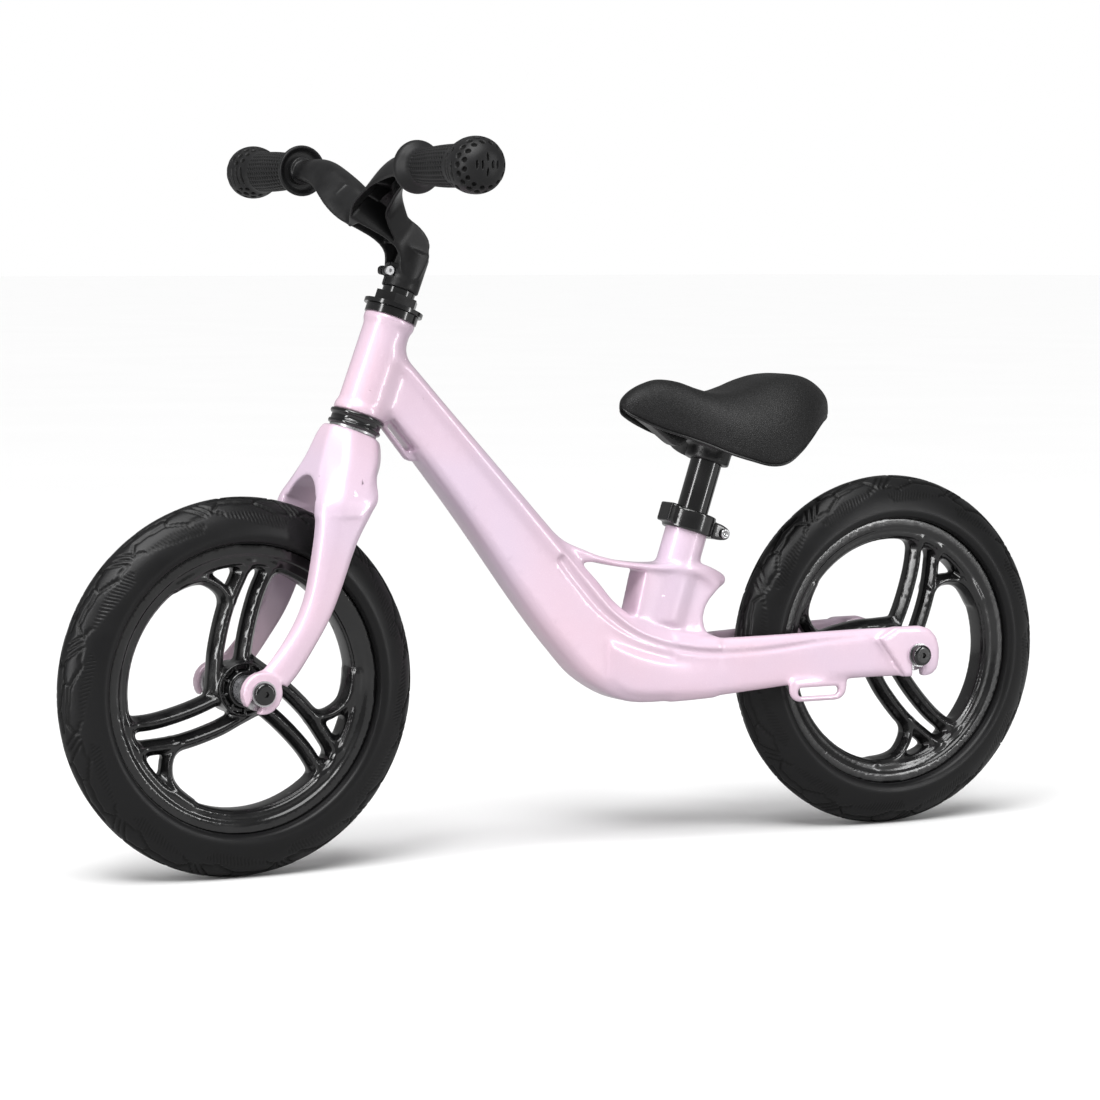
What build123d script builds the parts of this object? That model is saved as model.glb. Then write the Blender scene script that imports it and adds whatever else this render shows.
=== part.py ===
from build123d import *
from math import cos, radians, sin
import os

os.makedirs("parts", exist_ok=True)

# Balance bike, in millimetres. +X points forward, +Y to the rider's left, +Z up.
# The origin is on the ground, half way between the two axles.

# ---- driving dimensions -------------------------------------------------
wheelbase = 579.2
tyre_radius = 143.0
head_angle = 20.4                # steering axis, degrees back from vertical
head_low = (189.1, 344.8)        # lower end of the head tube, (x, z)
head_length = 77.7
seat_angle = 18.3                # seat post, degrees back from vertical
seat_top = (-104.4, 260.0)       # top of the seat tube on its axis, (x, z)
gap = 0.3                        # room between parts that turn past each other
play = 0.05                      # radial play of a running or sliding fit

# wheels
tyre_half = 21.9                 # widest point of the tyre
bead_radius = 108.9              # where the tyre meets the rim's edge
rim_base = 103.0                 # bottom of the tyre's seat in the rim
rim_half = 14.0
flange_wall = 2.6                # side wall of the tyre's seat
spoke_ridge = 9.5                # half height of a spoke, across the wheel
spoke_half = 6.0                 # half width of a spoke in the wheel's plane
hub_radius = 20.0
hub_half = 17.0
hub_bore = 8.0
bearing_outer = 11.0
bearing_width = 7.0
axle_radius = 5.0
front_spoke_turn = 92.4          # outer end of the braced arm, degrees from +X
rear_spoke_turn = 0.7

# dropouts and axle ends, distances from the middle of the bike
drop_thick = 8.0
drop_slot = 10.6                 # width of the open slot that the axle sits in
front_drop_out = 48.0
rear_drop_out = 50.0
front_cap_end = 52.8
rear_cap_end = 57.3
cap_radius = 8.4
washer_radius = 9.6
spacer_radius = 13.6
hex_key = 5.0

# headset: heights are measured up the steering axis from the head tube's lower end
steerer_radius = 12.7
head_radius = 18.5
head_bore = 15.0
cup_radius = 20.4
cup_skirt = 8.0
low_cup_height = 11.4
up_cup_height = 6.2
race_radius = 17.0               # bearing seat in each cup
crown_height = -13.4
washer_low = 84.4
dust_washer_radius = 23.0
nut_low = 87.4
nut_high = 95.4
nut_across = 31.0
collar_high = 100.0
stem_low = 100.2
stem_high = 150.0
stem_radius = 14.4
stem_bolt_radius = 2.0
steerer_top = 138.0
neck_radius = 11.1                # of the steerer inside the clamp

# handlebar and grips
grip_x = 188.9
grip_z = 530.0
bar_radius = 11.0
core_inner = 95.0                # the cast core inside each grip, from the middle of the bike
core_outer = 190.8
grip_inner = 98.0
grip_outer = 193.8
grip_radius = 15.2
flange_radius = 19.6
flange_place = 103.0
ball_radius = 20.6

# saddle and post
post_radius = 12.7
post_top = 52.0                  # heights from the seat tube's top, along its axis
post_low = -95.0
clamp_radius = 20.5
clamp_height = 15.0
seat_tube_radius = 17.0
clamp_bolt_radius = 2.6
bracket_radius = 18.0

front_x = wheelbase / 2
rear_x = -wheelbase / 2
axle_z = tyre_radius


def leaning_plane(point, angle):
    """Plane at an (x, z) point whose normal leans back from vertical, local x to the front."""
    lean = radians(angle)
    return Plane(origin=(point[0], 0, point[1]), x_dir=(cos(lean), 0, sin(lean)),
                 z_dir=(-sin(lean), 0, cos(lean)))


steer = leaning_plane(head_low, head_angle)
seat_line = leaning_plane(seat_top, seat_angle)


def save(builder, name):
    """Label a finished piece and write its STEP file."""
    builder.part.label = name
    export_step(builder.part, f"parts/{name}.step")


def wheel_plane(x):
    """Plane through a wheel's centre, local x forward and local y up."""
    return Plane(origin=(x, 0, axle_z), x_dir=(1, 0, 0), z_dir=(0, -1, 0))


def turned_plane(x):
    """Plane for a section turned about an axle: local x is across the bike, local y is up."""
    return Plane(origin=(x, 0, axle_z), x_dir=(0, 1, 0), z_dir=(1, 0, 0))


def axle_plane(x, y):
    """Plane across an axle at a distance from the middle, normal to the left."""
    return Plane(origin=(x, y, axle_z), x_dir=(-1, 0, 0), z_dir=(0, 1, 0))


def polar(radius, angle):
    """Point at a radius and an angle in degrees."""
    return (radius * cos(radians(angle)), radius * sin(radians(angle)))


def ring(plane, outer, inner, low, high):
    """Plain ring between two heights above a plane."""
    with BuildPart() as piece:
        with BuildSketch(plane.offset(low)):
            Circle(outer)
            Circle(inner, mode=Mode.SUBTRACT)
        extrude(amount=high - low)
    return piece.part


# ---- wheels -------------------------------------------------------------
def make_tyre(name, x):
    """Foam tyre: round-shouldered section seated in the rim and turned about the axle."""
    seat_half = rim_half - flange_wall
    with BuildPart() as tyre:
        with BuildSketch(turned_plane(x)):
            with BuildLine():
                Polyline((-rim_half, bead_radius), (-seat_half, bead_radius), (-seat_half, rim_base),
                         (seat_half, rim_base), (seat_half, bead_radius), (rim_half, bead_radius))
                Spline((rim_half, bead_radius), (20.6, 112.0), (tyre_half, 117.5), (17.6, 129.0),
                       (11.0, 138.6), (0, tyre_radius), (-11.0, 138.6), (-17.6, 129.0),
                       (-tyre_half, 117.5), (-20.6, 112.0), (-rim_half, bead_radius))
            make_face()
        revolve(axis=Axis((x, 0, axle_z), (0, 1, 0)))
    save(tyre, name)


def spoke_paths(turn, hand):
    """Centre lines of one pair of curved arms and of the brace that joins them to the rim."""
    routes = (
        ((21.0, -88.0), (22.4, -62.0), (36.3, -30.5), (62.6, -10.8), (96.0, 1.8)),
        ((14.0, 7.4), (58.0, 8.6), (96.0, 14.0)),
        ((63.0, -9.5), (79.0, -15.0), (95.0, -36.0)),
    )
    return [[polar(r, turn + hand * a) for r, a in route] for route in routes]


def make_rim(name, x, turn, hand):
    """Moulded wheel: tyre seat, three pairs of ridged curved arms with braces, and the hub."""
    plane = wheel_plane(x)
    with BuildPart() as rim:
        with BuildSketch(turned_plane(x)):
            with BuildLine():
                Polyline((-rim_half, bead_radius - 0.4), (-rim_half, 100.5), (-12.2, 99.0), (-12.2, 94.0),
                         (-9.5, 91.5), (9.5, 91.5), (12.2, 94.0), (12.2, 99.0), (rim_half, 100.5),
                         (rim_half, bead_radius - 0.4), (rim_half - flange_wall, bead_radius - 0.4),
                         (rim_half - flange_wall, rim_base), (flange_wall - rim_half, rim_base),
                         (flange_wall - rim_half, bead_radius - 0.4), close=True)
            make_face()
        revolve(axis=Axis((x, 0, axle_z), (0, 1, 0)))
        for third in range(3):
            for route in spoke_paths(turn + 120 * third, hand):
                with BuildLine(plane) as centre_line:
                    Spline(*route)
                start = Plane(origin=centre_line.line @ 0, x_dir=(0, 1, 0), z_dir=centre_line.line % 0)
                with BuildSketch(start):
                    Polygon((-spoke_ridge, -1), (-3, -spoke_half), (3, -spoke_half), (spoke_ridge, -1),
                            (spoke_ridge, 1), (3, spoke_half), (-3, spoke_half), (-spoke_ridge, 1))
                sweep(path=centre_line.line)
        with BuildSketch(plane):
            Circle(hub_radius)
        extrude(amount=hub_half, both=True)
        with BuildSketch(plane):
            Circle(hub_bore)
        extrude(amount=hub_half, both=True, mode=Mode.SUBTRACT)
        for side in (-1, 1):
            with BuildSketch(axle_plane(x, side * (hub_half - bearing_width / 2))):
                Circle(bearing_outer)
            extrude(amount=bearing_width / 2, both=True, mode=Mode.SUBTRACT)
    save(rim, name)


def make_bearings(name, x):
    """Pair of ball bearings pressed into the hub, flush with its ends."""
    with BuildPart() as bearings:
        for side in (-1, 1):
            with BuildSketch(axle_plane(x, side * (hub_half - bearing_width / 2))):
                Circle(bearing_outer)
                Circle(axle_radius + play, mode=Mode.SUBTRACT)
            extrude(amount=bearing_width / 2, both=True)
    save(bearings, name)


def make_axle(name, x, drop_out):
    """Steel axle clamped between the two dropouts."""
    with BuildPart() as axle:
        with BuildSketch(wheel_plane(x)):
            Circle(axle_radius)
        extrude(amount=drop_out, both=True)
    save(axle, name)


def make_spacers(name, x, drop_out):
    """Stepped metal spacers between each bearing and the inside of its dropout."""
    inside = drop_out - drop_thick
    with BuildPart() as spacers:
        for side in (-1, 1):
            plane = Plane(origin=(x, 0, axle_z), x_dir=(1, 0, 0), z_dir=(0, side, 0))
            add(ring(plane, 8.0, axle_radius, hub_half + gap, inside - 6))
            add(ring(plane, spacer_radius, axle_radius, inside - 6, inside))
    save(spacers, name)


def make_washers(name, x, drop_out):
    """Washers under the axle bolts, on the outside of the dropouts."""
    with BuildPart() as washers:
        for side in (-1, 1):
            plane = Plane(origin=(x, 0, axle_z), x_dir=(1, 0, 0), z_dir=(0, side, 0))
            add(ring(plane, washer_radius, 4.2, drop_out, drop_out + 1.5))
    save(washers, name)


def make_axle_bolts(name, x, drop_out, cap_end):
    """Button-headed bolts screwed into the ends of the axle, with hexagon sockets."""
    head_low_face = drop_out + 1.5
    head_round = min(2.5, cap_end - head_low_face - 0.6)
    with BuildPart() as bolts:
        for side in (-1, 1):
            plane = Plane(origin=(x, 0, axle_z), x_dir=(1, 0, 0), z_dir=(0, side, 0))
            with BuildSketch(plane.offset(drop_out)):
                Circle(4.2)
            extrude(amount=1.5)
            with BuildSketch(plane.offset(head_low_face)):
                Circle(cap_radius)
            extrude(amount=cap_end - head_low_face)
            fillet(bolts.edges().group_by(Axis.Y)[-1 if side > 0 else 0], head_round)
            with BuildSketch(plane.offset(cap_end)):
                RegularPolygon(hex_key / 2, 6)
            extrude(amount=-2.0, mode=Mode.SUBTRACT)
    save(bolts, name)


make_tyre("front_tyre", front_x)
make_tyre("rear_tyre", rear_x)
make_rim("front_rim", front_x, front_spoke_turn, 1)
make_rim("rear_rim", rear_x, rear_spoke_turn, -1)
make_bearings("front_hub_bearings", front_x)
make_bearings("rear_hub_bearings", rear_x)
make_axle("front_axle", front_x, front_drop_out)
make_axle("rear_axle", rear_x, rear_drop_out)
make_spacers("front_axle_spacers", front_x, front_drop_out)
make_spacers("rear_axle_spacers", rear_x, rear_drop_out)
make_washers("front_axle_washers", front_x, front_drop_out)
make_washers("rear_axle_washers", rear_x, rear_drop_out)
make_axle_bolts("front_axle_bolts", front_x, front_drop_out, front_cap_end)
make_axle_bolts("rear_axle_bolts", rear_x, rear_drop_out, rear_cap_end)


# ---- frame --------------------------------------------------------------
def station(high, low, outline):
    """Face across the bike between two (x, z) points; the outline is (y, share from high to low)."""
    points = []
    for y, share in outline:
        x = high[0] + (low[0] - high[0]) * share
        z = high[1] + (low[1] - high[1]) * share
        points.append(Vector(x, y, z))
    return Face(Wire.make_polygon(points, close=True))


def spine_outline(top, side, bottom, ridge=0.18, base=0.86):
    """Eight-sided section of the down tube: narrow top, ridged sides, narrower underside."""
    return [(top, 0), (side, ridge), (side, base), (bottom, 1),
            (-bottom, 1), (-side, base), (-side, ridge), (-top, 0)]


def stay_outline(inner, outer, hand):
    """Section of one chainstay, its outer side chamfered top and bottom."""
    return [(hand * inner, 0.03), (hand * (outer - 4), 0), (hand * outer, 0.16),
            (hand * outer, 0.9), (hand * (outer - 3), 1), (hand * inner, 0.97)]


# (x, z) of the upper edge, (x, z) of the lower edge, half widths of top, side and bottom
spine = (
    ((165.0, 400.0), (184.0, 349.0), 8.0, 14.0, 9.0),
    ((152.0, 388.0), (168.0, 341.0), 8.0, 15.5, 10.0),
    ((115.0, 348.0), (142.0, 311.0), 8.5, 17.0, 11.0),
    ((72.0, 302.0), (102.0, 260.5), 9.0, 17.5, 11.0),
    ((17.0, 243.0), (52.0, 194.0), 9.5, 18.5, 12.0),
    ((-12.0, 213.0), (20.0, 155.5), 11.0, 20.0, 13.0),
    ((-30.0, 193.0), (-5.0, 131.5), 12.0, 21.0, 15.0),
    ((-55.0, 176.5), (-40.0, 115.0), 14.0, 22.0, 17.0),
    ((-90.0, 165.0), (-85.0, 114.0), 17.0, 24.0, 20.0),
    ((-112.0, 163.4), (-110.0, 115.5), 20.0, 26.6, 22.0),
)
# (x, z) of the upper edge, (x, z) of the lower edge, inner and outer face
chainstay = (
    ((-80.0, 167.0), (-76.0, 114.0), 6.0, 23.2),
    ((-112.0, 163.4), (-110.0, 115.5), 12.0, 26.6),
    ((-149.0, 164.2), (-149.0, 119.0), 19.5, 32.0),
    ((-176.0, 165.0), (-176.0, 121.6), 26.0, 36.0),
    ((-209.0, 165.8), (-209.0, 124.2), 29.5, 40.2),
    ((-250.0, 166.4), (-250.0, 125.4), 35.0, 44.8),
    ((-280.0, 166.4), (-280.0, 125.4), 42.0, rear_drop_out),
)
web_half = 11.0
stay_half = 15.0
hoop_half = 4.5


def make_frame():
    """One-piece cast frame: head tube, down tube, top stay, seat tube, web and chainstays."""
    axle = wheel_plane(rear_x)
    with BuildPart() as frame:
        with BuildSketch(steer):
            Circle(head_radius)
        extrude(amount=head_length)
        loft([station(a, b, spine_outline(t, s, l)) for a, b, t, s, l in spine], ruled=True)
        for hand in (-1, 1):
            loft([station(a, b, stay_outline(i, o, hand)) for a, b, i, o in chainstay], ruled=True)
        # top stay that runs back from the down tube and ends in a short winged tail
        with BuildSketch(Plane.XZ):
            with BuildLine():
                Spline((24.0, 247.0), (-17.0, 230.0), (-55.0, 222.5), (-110.0, 220.5), (-134.0, 209.5))
                Line((-134.0, 209.5), (-122.0, 197.0))
                Spline((-122.0, 197.0), (-108.0, 212.0), (-88.0, 216.3), (-53.0, 218.6),
                       (-17.0, 225.4), (-2.0, 229.0), (20.0, 222.0))
                Line((20.0, 222.0), (24.0, 247.0))
            make_face()
        extrude(amount=stay_half, both=True)
        # web between the seat tube, the tail and the chainstays
        with BuildSketch(Plane.XZ):
            with BuildLine():
                Polyline((-55.0, 216.0), (-46.0, 180.0), (-60.0, 160.0), (-112.0, 160.0), (-113.5, 164.5))
                ThreePointArc((-113.5, 164.5), (-108.4, 181.0), (-123.0, 198.5))
                Polyline((-123.0, 198.5), (-118.0, 212.0), (-55.0, 216.0))
            make_face()
        extrude(amount=web_half, both=True)
        # seat tube, wider where it runs down behind the opening
        with BuildSketch(seat_line):
            Circle(seat_tube_radius)
        extrude(amount=-92.0)
        # strap hoop below the head end of the down tube
        with BuildSketch(Plane.XZ):
            with BuildLine():
                Polyline((176.0, 346.0), (172.0, 337.0), (150.0, 310.0), (143.5, 308.0), (136.0, 310.0),
                         (150.0, 330.0), (168.0, 352.0), close=True)
            make_face()
        extrude(amount=hoop_half, both=True)
        with BuildSketch(Plane.XZ):
            with Locations(Location((158.0, 326.0, 0), 49.0)):
                SlotOverall(27.0, 7.0)
        extrude(amount=20, both=True, mode=Mode.SUBTRACT)
        # dropouts with open slots, and slotted tabs below the chainstays
        for hand in (-1, 1):
            outside = Plane(origin=(0, hand * (rear_drop_out - drop_thick / 2), 0), x_dir=(1, 0, 0),
                            z_dir=(0, -1, 0))
            with BuildSketch(outside):
                with BuildLine():
                    Polyline((-268.0, 166.4), (-292.0, 166.4))
                    ThreePointArc((-292.0, 166.4), (-306.0, 159.5), (-310.6, 143.0))
                    ThreePointArc((-310.6, 143.0), (-309.0, 131.5), (-301.0, 125.4))
                    Polyline((-301.0, 125.4), (-268.0, 125.4), (-268.0, 166.4))
                make_face()
            extrude(amount=drop_thick / 2, both=True)
            tab = Plane(origin=(0, hand * 37.5, 0), x_dir=(1, 0, 0), z_dir=(0, -1, 0))
            with BuildSketch(tab):
                with Locations((-201.0, 120.0)):
                    RectangleRounded(54.0, 23.0, 6.0)
            extrude(amount=2.2, both=True)
            with BuildSketch(tab):
                with Locations((-201.0, 116.8)):
                    SlotOverall(40.0, 7.4)
            extrude(amount=12, both=True, mode=Mode.SUBTRACT)
        with BuildSketch(axle):
            Circle(drop_slot / 2)
            with Locations((0, -15)):
                Rectangle(drop_slot, 30)
        extrude(amount=rear_drop_out + 1, both=True, mode=Mode.SUBTRACT)
        # room for the lower headset cup and for the rear axle's spacers
        with BuildSketch(steer):
            Circle(cup_radius + gap)
        extrude(amount=-16.0, mode=Mode.SUBTRACT)
        with BuildSketch(axle):
            Circle(spacer_radius + gap)
        extrude(amount=rear_drop_out - drop_thick, both=True, mode=Mode.SUBTRACT)
        # bores of the head tube and the seat tube
        with BuildSketch(steer.offset(-2)):
            Circle(head_bore)
        extrude(amount=head_length + 4, mode=Mode.SUBTRACT)
        with BuildSketch(seat_line.offset(1)):
            Circle(post_radius + play)
        extrude(amount=-128.0, mode=Mode.SUBTRACT)
        # clearance for the rear tyre between the stays
        with BuildSketch(wheel_plane(rear_x)):
            Circle(tyre_radius + 7)
        extrude(amount=hub_radius, both=True, mode=Mode.SUBTRACT)
    save(frame, "frame")


make_frame()


# ---- headset and steering -----------------------------------------------
def make_cup(name, low, height, race_low, race_high, skirt_low, skirt_high):
    """Headset cup: an outer ring that holds a bearing, with a skirt pressed into the head tube."""
    with BuildPart() as cup:
        add(ring(steer, cup_radius, steerer_radius + 1.0, low, low + height))
        add(ring(steer, head_bore, steerer_radius + 1.0, skirt_low, skirt_high))
        with BuildSketch(steer.offset(race_low)):
            Circle(race_radius)
        extrude(amount=race_high - race_low, mode=Mode.SUBTRACT)
    save(cup, name)


def make_ring_part(name, outer, inner, low, high):
    """Plain ring on the steering axis."""
    with BuildPart() as piece:
        add(ring(steer, outer, inner, low, high))
    save(piece, name)


make_cup("lower_headset_cup", -low_cup_height, low_cup_height, -low_cup_height, -low_cup_height + 7, 0,
         cup_skirt)
make_cup("upper_headset_cup", head_length, up_cup_height, head_length + up_cup_height - 5,
         head_length + up_cup_height, head_length - cup_skirt, head_length)
make_ring_part("lower_steering_bearing", race_radius, steerer_radius + play,
               -low_cup_height + 0.6, -low_cup_height + 7)
make_ring_part("upper_steering_bearing", race_radius, steerer_radius + play,
               head_length + up_cup_height - 5, head_length + up_cup_height - 0.2)
make_ring_part("crown_race", 18.5, steerer_radius, crown_height, -low_cup_height - gap)
make_ring_part("headset_dust_washer", dust_washer_radius, steerer_radius,
               head_length + up_cup_height + gap, nut_low)

with BuildPart() as lock_nut:
    with BuildSketch(steer.offset(nut_low)):
        RegularPolygon(nut_across / 2, 6, major_radius=False)
        Circle(steerer_radius, mode=Mode.SUBTRACT)
    extrude(amount=nut_high - nut_low)
save(lock_nut, "headset_lock_nut")

with BuildPart() as steerer:
    with BuildSketch(steer.offset(crown_height - 18)):
        Circle(steerer_radius)
    extrude(amount=collar_high - crown_height + 18)
    with BuildSketch(steer.offset(collar_high)):
        Circle(neck_radius)
    extrude(amount=steerer_top - collar_high)
    with BuildSketch(steer.offset(crown_height - 18)):
        Circle(8.5)
    extrude(amount=steerer_top - crown_height + 18, mode=Mode.SUBTRACT)
save(steerer, "steerer_tube")


def crown_outline(half, flat):
    """Eight-sided section of the fork crown: (y, share from the front point to the back point)."""
    return [(flat, 0), (half, 0.25), (half, 0.75), (flat, 1), (-flat, 1), (-half, 0.75),
            (-half, 0.25), (-flat, 0)]


def leg_outline(inner, outer, hand):
    """Section of one fork leg: (y, share from the front point to the back point)."""
    return [(hand * inner, 0), (hand * (outer - 5), 0), (hand * outer, 0.22), (hand * outer, 0.85),
            (hand * (outer - 3), 1), (hand * (inner + 2), 1)]


# front and back (x, z) points, half width, half width of the flat front
crown = (
    ((214.5, 340.0), (175.5, 324.5), 20.0, 9.0),
    ((219.0, 332.0), (174.0, 320.0), 26.0, 11.0),
    ((226.0, 315.0), (176.0, 309.0), 33.0, 16.0),
    ((232.5, 300.0), (183.0, 297.0), 40.0, 24.0),
    ((237.5, 284.0), (190.0, 284.0), 45.5, 34.0),
    ((239.5, 274.0), (197.0, 273.0), 47.2, 38.0),
)
# front and back (x, z) points, inner and outer face
legs = (
    ((238.0, 280.0), (192.5, 280.0), 29.0, 46.4),
    ((239.5, 274.0), (197.0, 273.0), 30.0, 47.2),
    ((242.5, 252.0), (211.0, 250.0), 31.0, 47.6),
    ((249.0, 218.0), (223.5, 216.0), 32.0, 47.6),
    ((267.0, 181.0), (242.0, 178.0), 35.0, 48.0),
    ((285.0, 162.0), (262.0, 150.0), 38.5, 48.0),
)


def make_fork():
    """One-piece cast fork: crown, two curved legs and open dropouts."""
    axle = wheel_plane(front_x)
    with BuildPart() as fork:
        loft([station(a, b, crown_outline(h, f)) for a, b, h, f in crown], ruled=True)
        # arched window over the tyre
        with BuildSketch(Plane.YZ.offset(150)):
            with Locations((0, 240.0)):
                Rectangle(58.0, 62.0)
            with Locations((0, 271.0)):
                Circle(29.0)
        extrude(amount=120, mode=Mode.SUBTRACT)
        for hand in (-1, 1):
            loft([station(a, b, leg_outline(i, o, hand)) for a, b, i, o in legs], ruled=True)
            outside = Plane(origin=(front_x, hand * (front_drop_out - drop_thick / 2), axle_z),
                            x_dir=(1, 0, 0), z_dir=(0, -1, 0))
            with BuildSketch(outside):
                Circle(16.0)
                Polygon((-5, 19.5), (-28, 7.0), (-14, -8.0), (6, 14.0), align=None)
            extrude(amount=drop_thick / 2, both=True)
        with BuildSketch(axle):
            Circle(drop_slot / 2)
            with Locations(Location((0, 0, 0), -58)):
                with Locations((12, 0)):
                    Rectangle(24, drop_slot)
        extrude(amount=front_drop_out + 1, both=True, mode=Mode.SUBTRACT)
        with BuildSketch(steer.offset(crown_height + 12)):
            Rectangle(70, 120)
        extrude(amount=-12, mode=Mode.SUBTRACT)
        with BuildSketch(steer.offset(crown_height + 1)):
            Circle(steerer_radius)
        extrude(amount=-19, mode=Mode.SUBTRACT)
    save(fork, "fork")


make_fork()


# ---- handlebar ----------------------------------------------------------
stem_bolt_plane = Plane(origin=steer.offset(stem_low + 10).origin + steer.x_dir * (stem_radius + 2.4),
                        x_dir=steer.x_dir, z_dir=(0, 1, 0))
# section points in (x, z) at each distance from the middle: front lip, crease, top front,
# top back, back, back lip
wing = (
    (0.0, ((197.0, 489.0), (194.5, 503.0), (184.0, 513.5), (155.0, 505.0), (140.0, 494.5), (137.0, 470.0))),
    (13.0, ((203.0, 495.0), (195.0, 507.0), (185.0, 516.0), (158.0, 506.0), (144.0, 496.0), (160.0, 476.0))),
    (26.0, ((206.7, 504.0), (194.0, 513.0), (185.0, 521.0), (170.0, 518.0), (163.0, 508.0), (178.0, 494.0))),
    (46.0, ((204.5, 516.0), (196.0, 525.0), (187.0, 532.0), (175.0, 530.0), (171.0, 519.0), (182.0, 505.0))),
    (75.0, ((200.0, 524.0), (197.0, 535.0), (189.0, 541.0), (179.0, 538.0), (176.0, 527.0), (186.0, 517.0))),
    (97.7, ((200.5, 526.0), (197.5, 537.0), (189.0, 542.0), (180.0, 537.0), (177.0, 527.0), (189.0, 518.0))),
)
# inside of the hollow wings, with two more points that carry the opening out below
hollow_shift = ((-3.5, 1.0), (-3.5, -2.5), (0.0, -3.5), (3.0, -3.0), (3.5, 0.5), (3.0, 1.0))


def wing_face(y, points):
    """Section across a wing at one distance from the middle."""
    return Face(Wire.make_polygon([Vector(x, y, z) for x, z in points], close=True))


def hollow_points(points):
    """The section's points moved inwards by the wall, open at the front and below."""
    inner = [(p[0] + s[0], p[1] + s[1]) for p, s in zip(points, hollow_shift)]
    back_lip = (points[5][0] + 2.0, points[5][1] - 14.0)
    front_lip = (points[0][0] + 1.0, points[0][1] - 12.0)
    return inner + [back_lip, front_lip]


def make_handlebar():
    """One-piece cast bar: clamp tube, arched neck, two hollow wings and the cores of the grips."""
    with BuildPart() as bar:
        with BuildSketch(steer.offset(stem_low)):
            Circle(stem_radius)
        extrude(amount=stem_high - stem_low)
        with BuildSketch(Plane.XZ):
            with BuildLine():
                Polyline((143.0, 440.0), (131.5, 457.0))
                ThreePointArc((131.5, 457.0), (129.5, 478.0), (140.0, 494.5))
                Polyline((140.0, 494.5), (155.0, 505.0), (184.0, 513.5), (194.5, 503.0), (197.0, 489.0),
                         (170.0, 483.0), (157.0, 467.0), (158.0, 455.0), (164.0, 445.0), (143.0, 440.0))
            make_face()
        extrude(amount=13.0, both=True)
        for hand in (-1, 1):
            core = Plane(origin=(grip_x, hand * core_inner, grip_z), x_dir=(1, 0, 0),
                         z_dir=(0, hand, 0))
            with BuildSketch(core):
                Circle(bar_radius)
            extrude(amount=core_outer - core_inner)
            loft([wing_face(hand * y, points) for y, points in wing], ruled=True)
            inner = [wing_face(hand * y, hollow_points(points)) for y, points in wing[1:5]]
            loft(inner, ruled=True, mode=Mode.SUBTRACT)
        with BuildSketch(Plane.XZ):
            with BuildLine():
                Polyline((199.0, 480.0), (194.0, 490.0), (191.0, 502.0), (183.0, 509.0), (157.0, 500.5),
                         (144.0, 491.0), (139.0, 478.0), (145.0, 464.0), (158.0, 462.0), (176.0, 474.0),
                         close=True)
            make_face()
        extrude(amount=10.0, both=True, mode=Mode.SUBTRACT)
        with BuildSketch(steer.offset(stem_low - 1)):
            Circle(neck_radius + play)
        extrude(amount=41.0, mode=Mode.SUBTRACT)
        # saw cut of the clamp, with a hole for its bolt across the two lugs
        with BuildSketch(steer.offset(stem_low + 3)):
            with Locations((stem_radius, 0)):
                RectangleRounded(11.0, 13.0, 2.0)
        extrude(amount=14.0)
        with BuildSketch(steer.offset(stem_low)):
            Circle(neck_radius + play)
            with Locations((stem_radius, 0)):
                Rectangle(14.0, 2.0)
        extrude(amount=22.0, mode=Mode.SUBTRACT)
        with BuildSketch(stem_bolt_plane):
            Circle(stem_bolt_radius)
        extrude(amount=20.0, both=True, mode=Mode.SUBTRACT)
    save(bar, "handlebar")


make_handlebar()


def make_grip(name, hand):
    """Rubber grip: dished inner flange, barrel body and a rounded safety end."""
    end = grip_outer + 17.5
    with BuildPart() as grip:
        with BuildSketch(Plane(origin=(grip_x, 0, grip_z), x_dir=(0, hand, 0), z_dir=(1, 0, 0))):
            with BuildLine():
                Polyline((grip_inner, bar_radius + 1.5), (grip_inner, 17.0))
                Spline((grip_inner, 17.0), (101.0, flange_radius), (105.0, 18.0), (110.0, 14.2))
                Spline((110.0, 14.2), (130.0, 15.0), (150.0, grip_radius), (168.0, 15.0), (174.0, 16.2),
                       (180.0, 19.0), (grip_outer - 4.0, ball_radius), (grip_outer + 6.0, 19.2),
                       (grip_outer + 14.0, 12.5), (end, 0))
                Polyline((end, 0), (core_outer, 0), (core_outer, bar_radius),
                         (101.0, bar_radius), (grip_inner, bar_radius + 1.5))
            make_face()
        revolve(axis=Axis((grip_x, 0, grip_z), (0, 1, 0)))
    save(grip, name)


make_grip("grip_left", 1)
make_grip("grip_right", -1)

with BuildPart() as stem_bolt:
    with BuildSketch(stem_bolt_plane):
        Circle(stem_bolt_radius)
    extrude(amount=6.5, both=True)
    with BuildSketch(stem_bolt_plane.offset(6.5)):
        Circle(3.4)
    extrude(amount=2.6)
    with BuildSketch(stem_bolt_plane.offset(9.1)):
        RegularPolygon(1.6, 6)
    extrude(amount=-1.6, mode=Mode.SUBTRACT)
save(stem_bolt, "stem_clamp_bolt")


# ---- seat ---------------------------------------------------------------
with BuildPart() as seat_post:
    with BuildSketch(seat_line.offset(post_low)):
        Circle(post_radius)
        Circle(post_radius - 1.6, mode=Mode.SUBTRACT)
    extrude(amount=post_top - post_low)
save(seat_post, "seat_post")

ear = Plane(origin=seat_line.offset(-7).origin - seat_line.x_dir * 30.0, x_dir=seat_line.x_dir,
            z_dir=(0, 1, 0))


def clamp_band(bore, low, high):
    """Clamp ring with its two ears at the back, between two heights from the seat tube's top."""
    with BuildPart() as band:
        with BuildSketch(seat_line.offset(low)):
            Circle(clamp_radius)
            with Locations((-25.0, 0)):
                Rectangle(25.0, 15.0)
            Circle(bore, mode=Mode.SUBTRACT)
        extrude(amount=high - low)
    return band.part


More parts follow.
